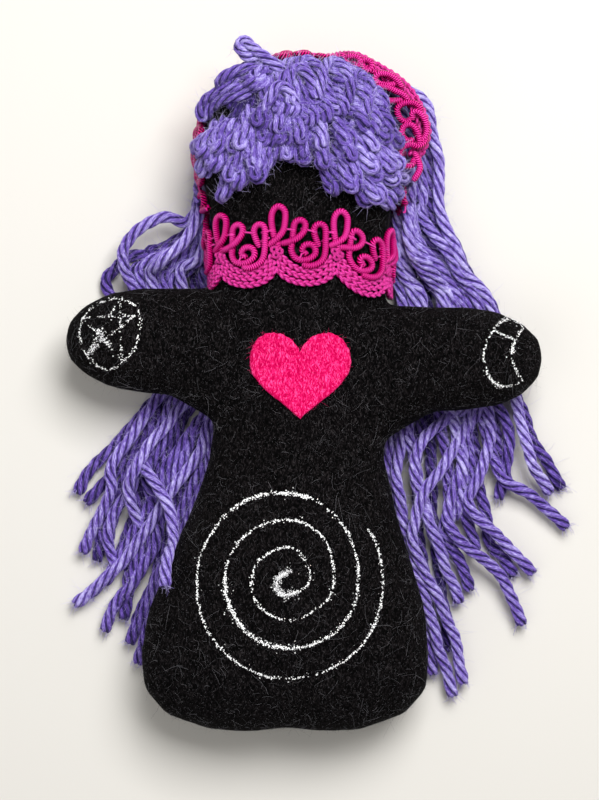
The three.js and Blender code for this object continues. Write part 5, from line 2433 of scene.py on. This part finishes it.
    def lay_under(self, pile: MeshPile, low: float, high: float, rng: np.random.Generator) -> None:
        """Lays plain runs of yarn close to the felt, which close the gaps between the loops with painted shade.

        Args:
            pile: The mesh that gets them.
            low: First direction, in degrees.
            high: Last direction, in degrees.
            rng: Source of small differences.
        """
        degrees = low - self.under_margins[0]
        while degrees < high + self.under_margins[1]:
            angle = math.radians(degrees)
            way = np.array([math.sin(angle), math.cos(angle)])
            # Beside the band it runs on below the gimp.
            reach = min(self.edge_at(degrees + turn) for turn in self.under_near)
            reach += -self.under_reach if degrees < self.band_degrees else self.under_reach
            if reach > self.least_away + self.under_least:
                runs = [np.array(self.centre) + way * away for away in np.linspace(self.least_away, reach, 8)]
                spots = [self.spot((x, max(y, self.under_top_pixel)), self.under_lift) for x, y in runs]
                line = rounded(spots, self.yarn.step)
                # Painted shade: these runs are tinted dark, so the gaps between the loops read dark.
                self.yarn.lay(pile, line, rng, size=self.under_size, shades=self.under_painted_shades)
            degrees += math.degrees(self.under_spacing_pixels / max(reach, self.under_pixels))

    def lay_rows(self, piles: list[MeshPile], fibres: MeshPile, upper: MeshPile,
                 rng: np.random.Generator) -> None:
        """Lays the rows of loops, from the lower edge up.

        Args:
            piles: The meshes of the three tiers.
            fibres: The mesh of the lower rows' loose fibres.
            upper: The mesh of the upper rows' loose fibres.
            rng: Source of small differences.
        """
        low, high = self.edge[0][0], self.edge[-1][0]
        for row, inset in enumerate(self.row_insets):
            pile = piles[min(row * 3 // len(self.row_insets), 2)]
            degrees = low + self.row_start + self.row_shift * (row % 2)
            while degrees < high:
                reach = self.edge_at(degrees) - inset + rng.uniform(*self.reach_spread)
                if reach < self.least_away + self.least_length:
                    degrees += self.row_skip
                    continue
                # Beside the band the loops keep to their row.
                stray = rng.uniform(-self.stray_degrees, self.stray_degrees) * (degrees < self.band_degrees)
                line = self.loop(degrees + stray, reach, row, rng)
                self.lay_loop(pile, fibres if row < 2 else upper, line, rng)
                step = math.degrees(self.spacing_pixels / max(reach, self.near_pixels))
                degrees += step * rng.uniform(*self.spacing_spread)

    def build(self) -> list[Piece]:
        """Lays the rows of loops and the stray ones.

        Returns:
            The three tiers, the stray loops, and the loose fibres of the lower and the upper rows.
        """
        rng = np.random.default_rng(self.seed)
        tiers = ("fringe_lower", "fringe_middle", "fringe_upper")
        piles = [MeshPile() for _ in tiers]
        fibres, upper, loose = MeshPile(), MeshPile(), MeshPile()
        self.lay_under(piles[0], self.edge[0][0], self.edge[-1][0], rng)
        for degrees, reach in self.brow:
            self.lay_loop(piles[0], fibres, self.loop(degrees, reach, 0, rng), rng)
        self.lay_rows(piles, fibres, upper, rng)
        routes = [VIEW.route(route) for route in self.stray]
        routes += [np.array([self.spot((x, y), lift) for x, y, lift in curl]) for curl in self.curls]
        for route in routes:
            self.lay_loop(loose, upper, rounded(route, self.yarn.step), rng, self.stray_size)
        yarn = Finish.HAIR_YARN.material()
        pieces = [pile.build(f"{tier}_loops", yarn) for tier, pile in zip(tiers, piles)]
        pieces.append(loose.build("fringe_stray_loops", yarn))
        for piece, node in zip(pieces, (*(f"{tier}_tier" for tier in tiers), "fringe_stray_loop")):
            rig.replaces(piece, node)
        pieces.append(fibres.build("fringe_lower_fibres", Finish.YARN_FUZZ.material()))
        pieces.append(upper.build("fringe_upper_fibres", Finish.YARN_FUZZ.material()))
        return carry(pieces, "yarn", "head")


# Studio


@dataclass
class Studio:
    """A plain pale floor, a soft lamp at the upper right, a weaker one at the left and an even pale room."""

    room_colour: str = "F4F2EE"
    floor_half: float = 1.5
    floor_drop: float = 0.0002
    # Each lamp's name, place in metres, power in watts and width.
    lamps: tuple[tuple[str, tuple[float, float, float], float, float], ...] = (
        ("window_lamp", (0.2, 0.48, 0.84), 11.8, 0.5),
        ("fill_lamp", (-0.5, -0.25, 0.9), 2.36, 0.9),
    )
    aim: tuple[float, float, float] = (0.0, 0.06, 0.02)
    room_strength: float = 0.28

    def lay_floor(self) -> None:
        """Lays the floor just below the doll."""
        mesh = bpy.data.meshes.new("floor")
        corners = [(x * self.floor_half, y * self.floor_half, -self.floor_drop)
                   for x, y in ((-1, -1), (1, -1), (1, 1), (-1, 1))]
        mesh.from_pydata(corners, [], [(0, 1, 2, 3)])
        mesh.materials.append(Finish.BACKDROP.material())
        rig.stage(placed("floor", mesh))

    def build(self) -> None:
        """Sets the floor, the lamps and the room."""
        self.lay_floor()
        for name, spot, power, size in self.lamps:
            data = bpy.data.lights.new(name, "AREA")
            data.energy = power
            data.size = size
            lamp = placed(name, data)
            lamp.location = spot
            lamp.rotation_euler = (Vector(self.aim) - Vector(spot)).to_track_quat("-Z", "Y").to_euler()
        world = bpy.data.worlds.new("even_room")
        world.use_nodes = True
        background = world.node_tree.nodes["Background"]
        background.inputs["Color"].default_value = linear(self.room_colour)
        background.inputs["Strength"].default_value = self.room_strength
        bpy.context.scene.world = world
        bpy.context.scene.view_settings.view_transform = "Standard"


def write_sizes() -> None:
    """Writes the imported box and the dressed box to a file, for comparing them."""
    boxes = {"cad": CAD_BOX, "visual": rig.bounds()}
    plain = {name: [[float(v) for v in corner] for corner in box] for name, box in boxes.items()}
    with open("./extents.json", "w", encoding="utf-8") as file:
        json.dump(plain, file)


def main() -> None:
    """Builds the doll and its studio in order, and reports each piece."""
    logging.basicConfig(level=logging.INFO, format="%(name)s: %(message)s")
    VIEW.camera()
    yarn = PliedYarn()
    body = FeltBody()
    left_nodes = ("hair_lower_layer_left", *(f"hair_strand_left_{n}" for n in range(1, 7)))
    right_nodes = ("hair_lower_layer_right", *(f"hair_strand_right_{n}" for n in range(1, 9)))
    makers = (
        body,
        FeltFibres(body),
        FeltHeart(body),
        ChalkMarks(body),
        Collar(LoopedLace("collar", np.random.default_rng(12))),
        HeadBand(LoopedLace("band", np.random.default_rng(21))),
        CrownHair(yarn),
        Fringe(PliedYarn(turn_length=17.0, step=1.0, sides=6)),
        LongHair(Side.LEFT, LEFT_STRANDS, left_nodes, yarn),
        LongHair(Side.RIGHT, RIGHT_STRANDS, right_nodes, yarn),
        FrontStrand(yarn, body),
    )
    for maker in makers:
        for piece in maker.build():
            LOG.info("%s: %s, %d faces", type(maker).__name__, piece.name, len(piece.data.polygons))
    Studio().build()
    write_sizes()


if __name__ == "__main__":
    main()
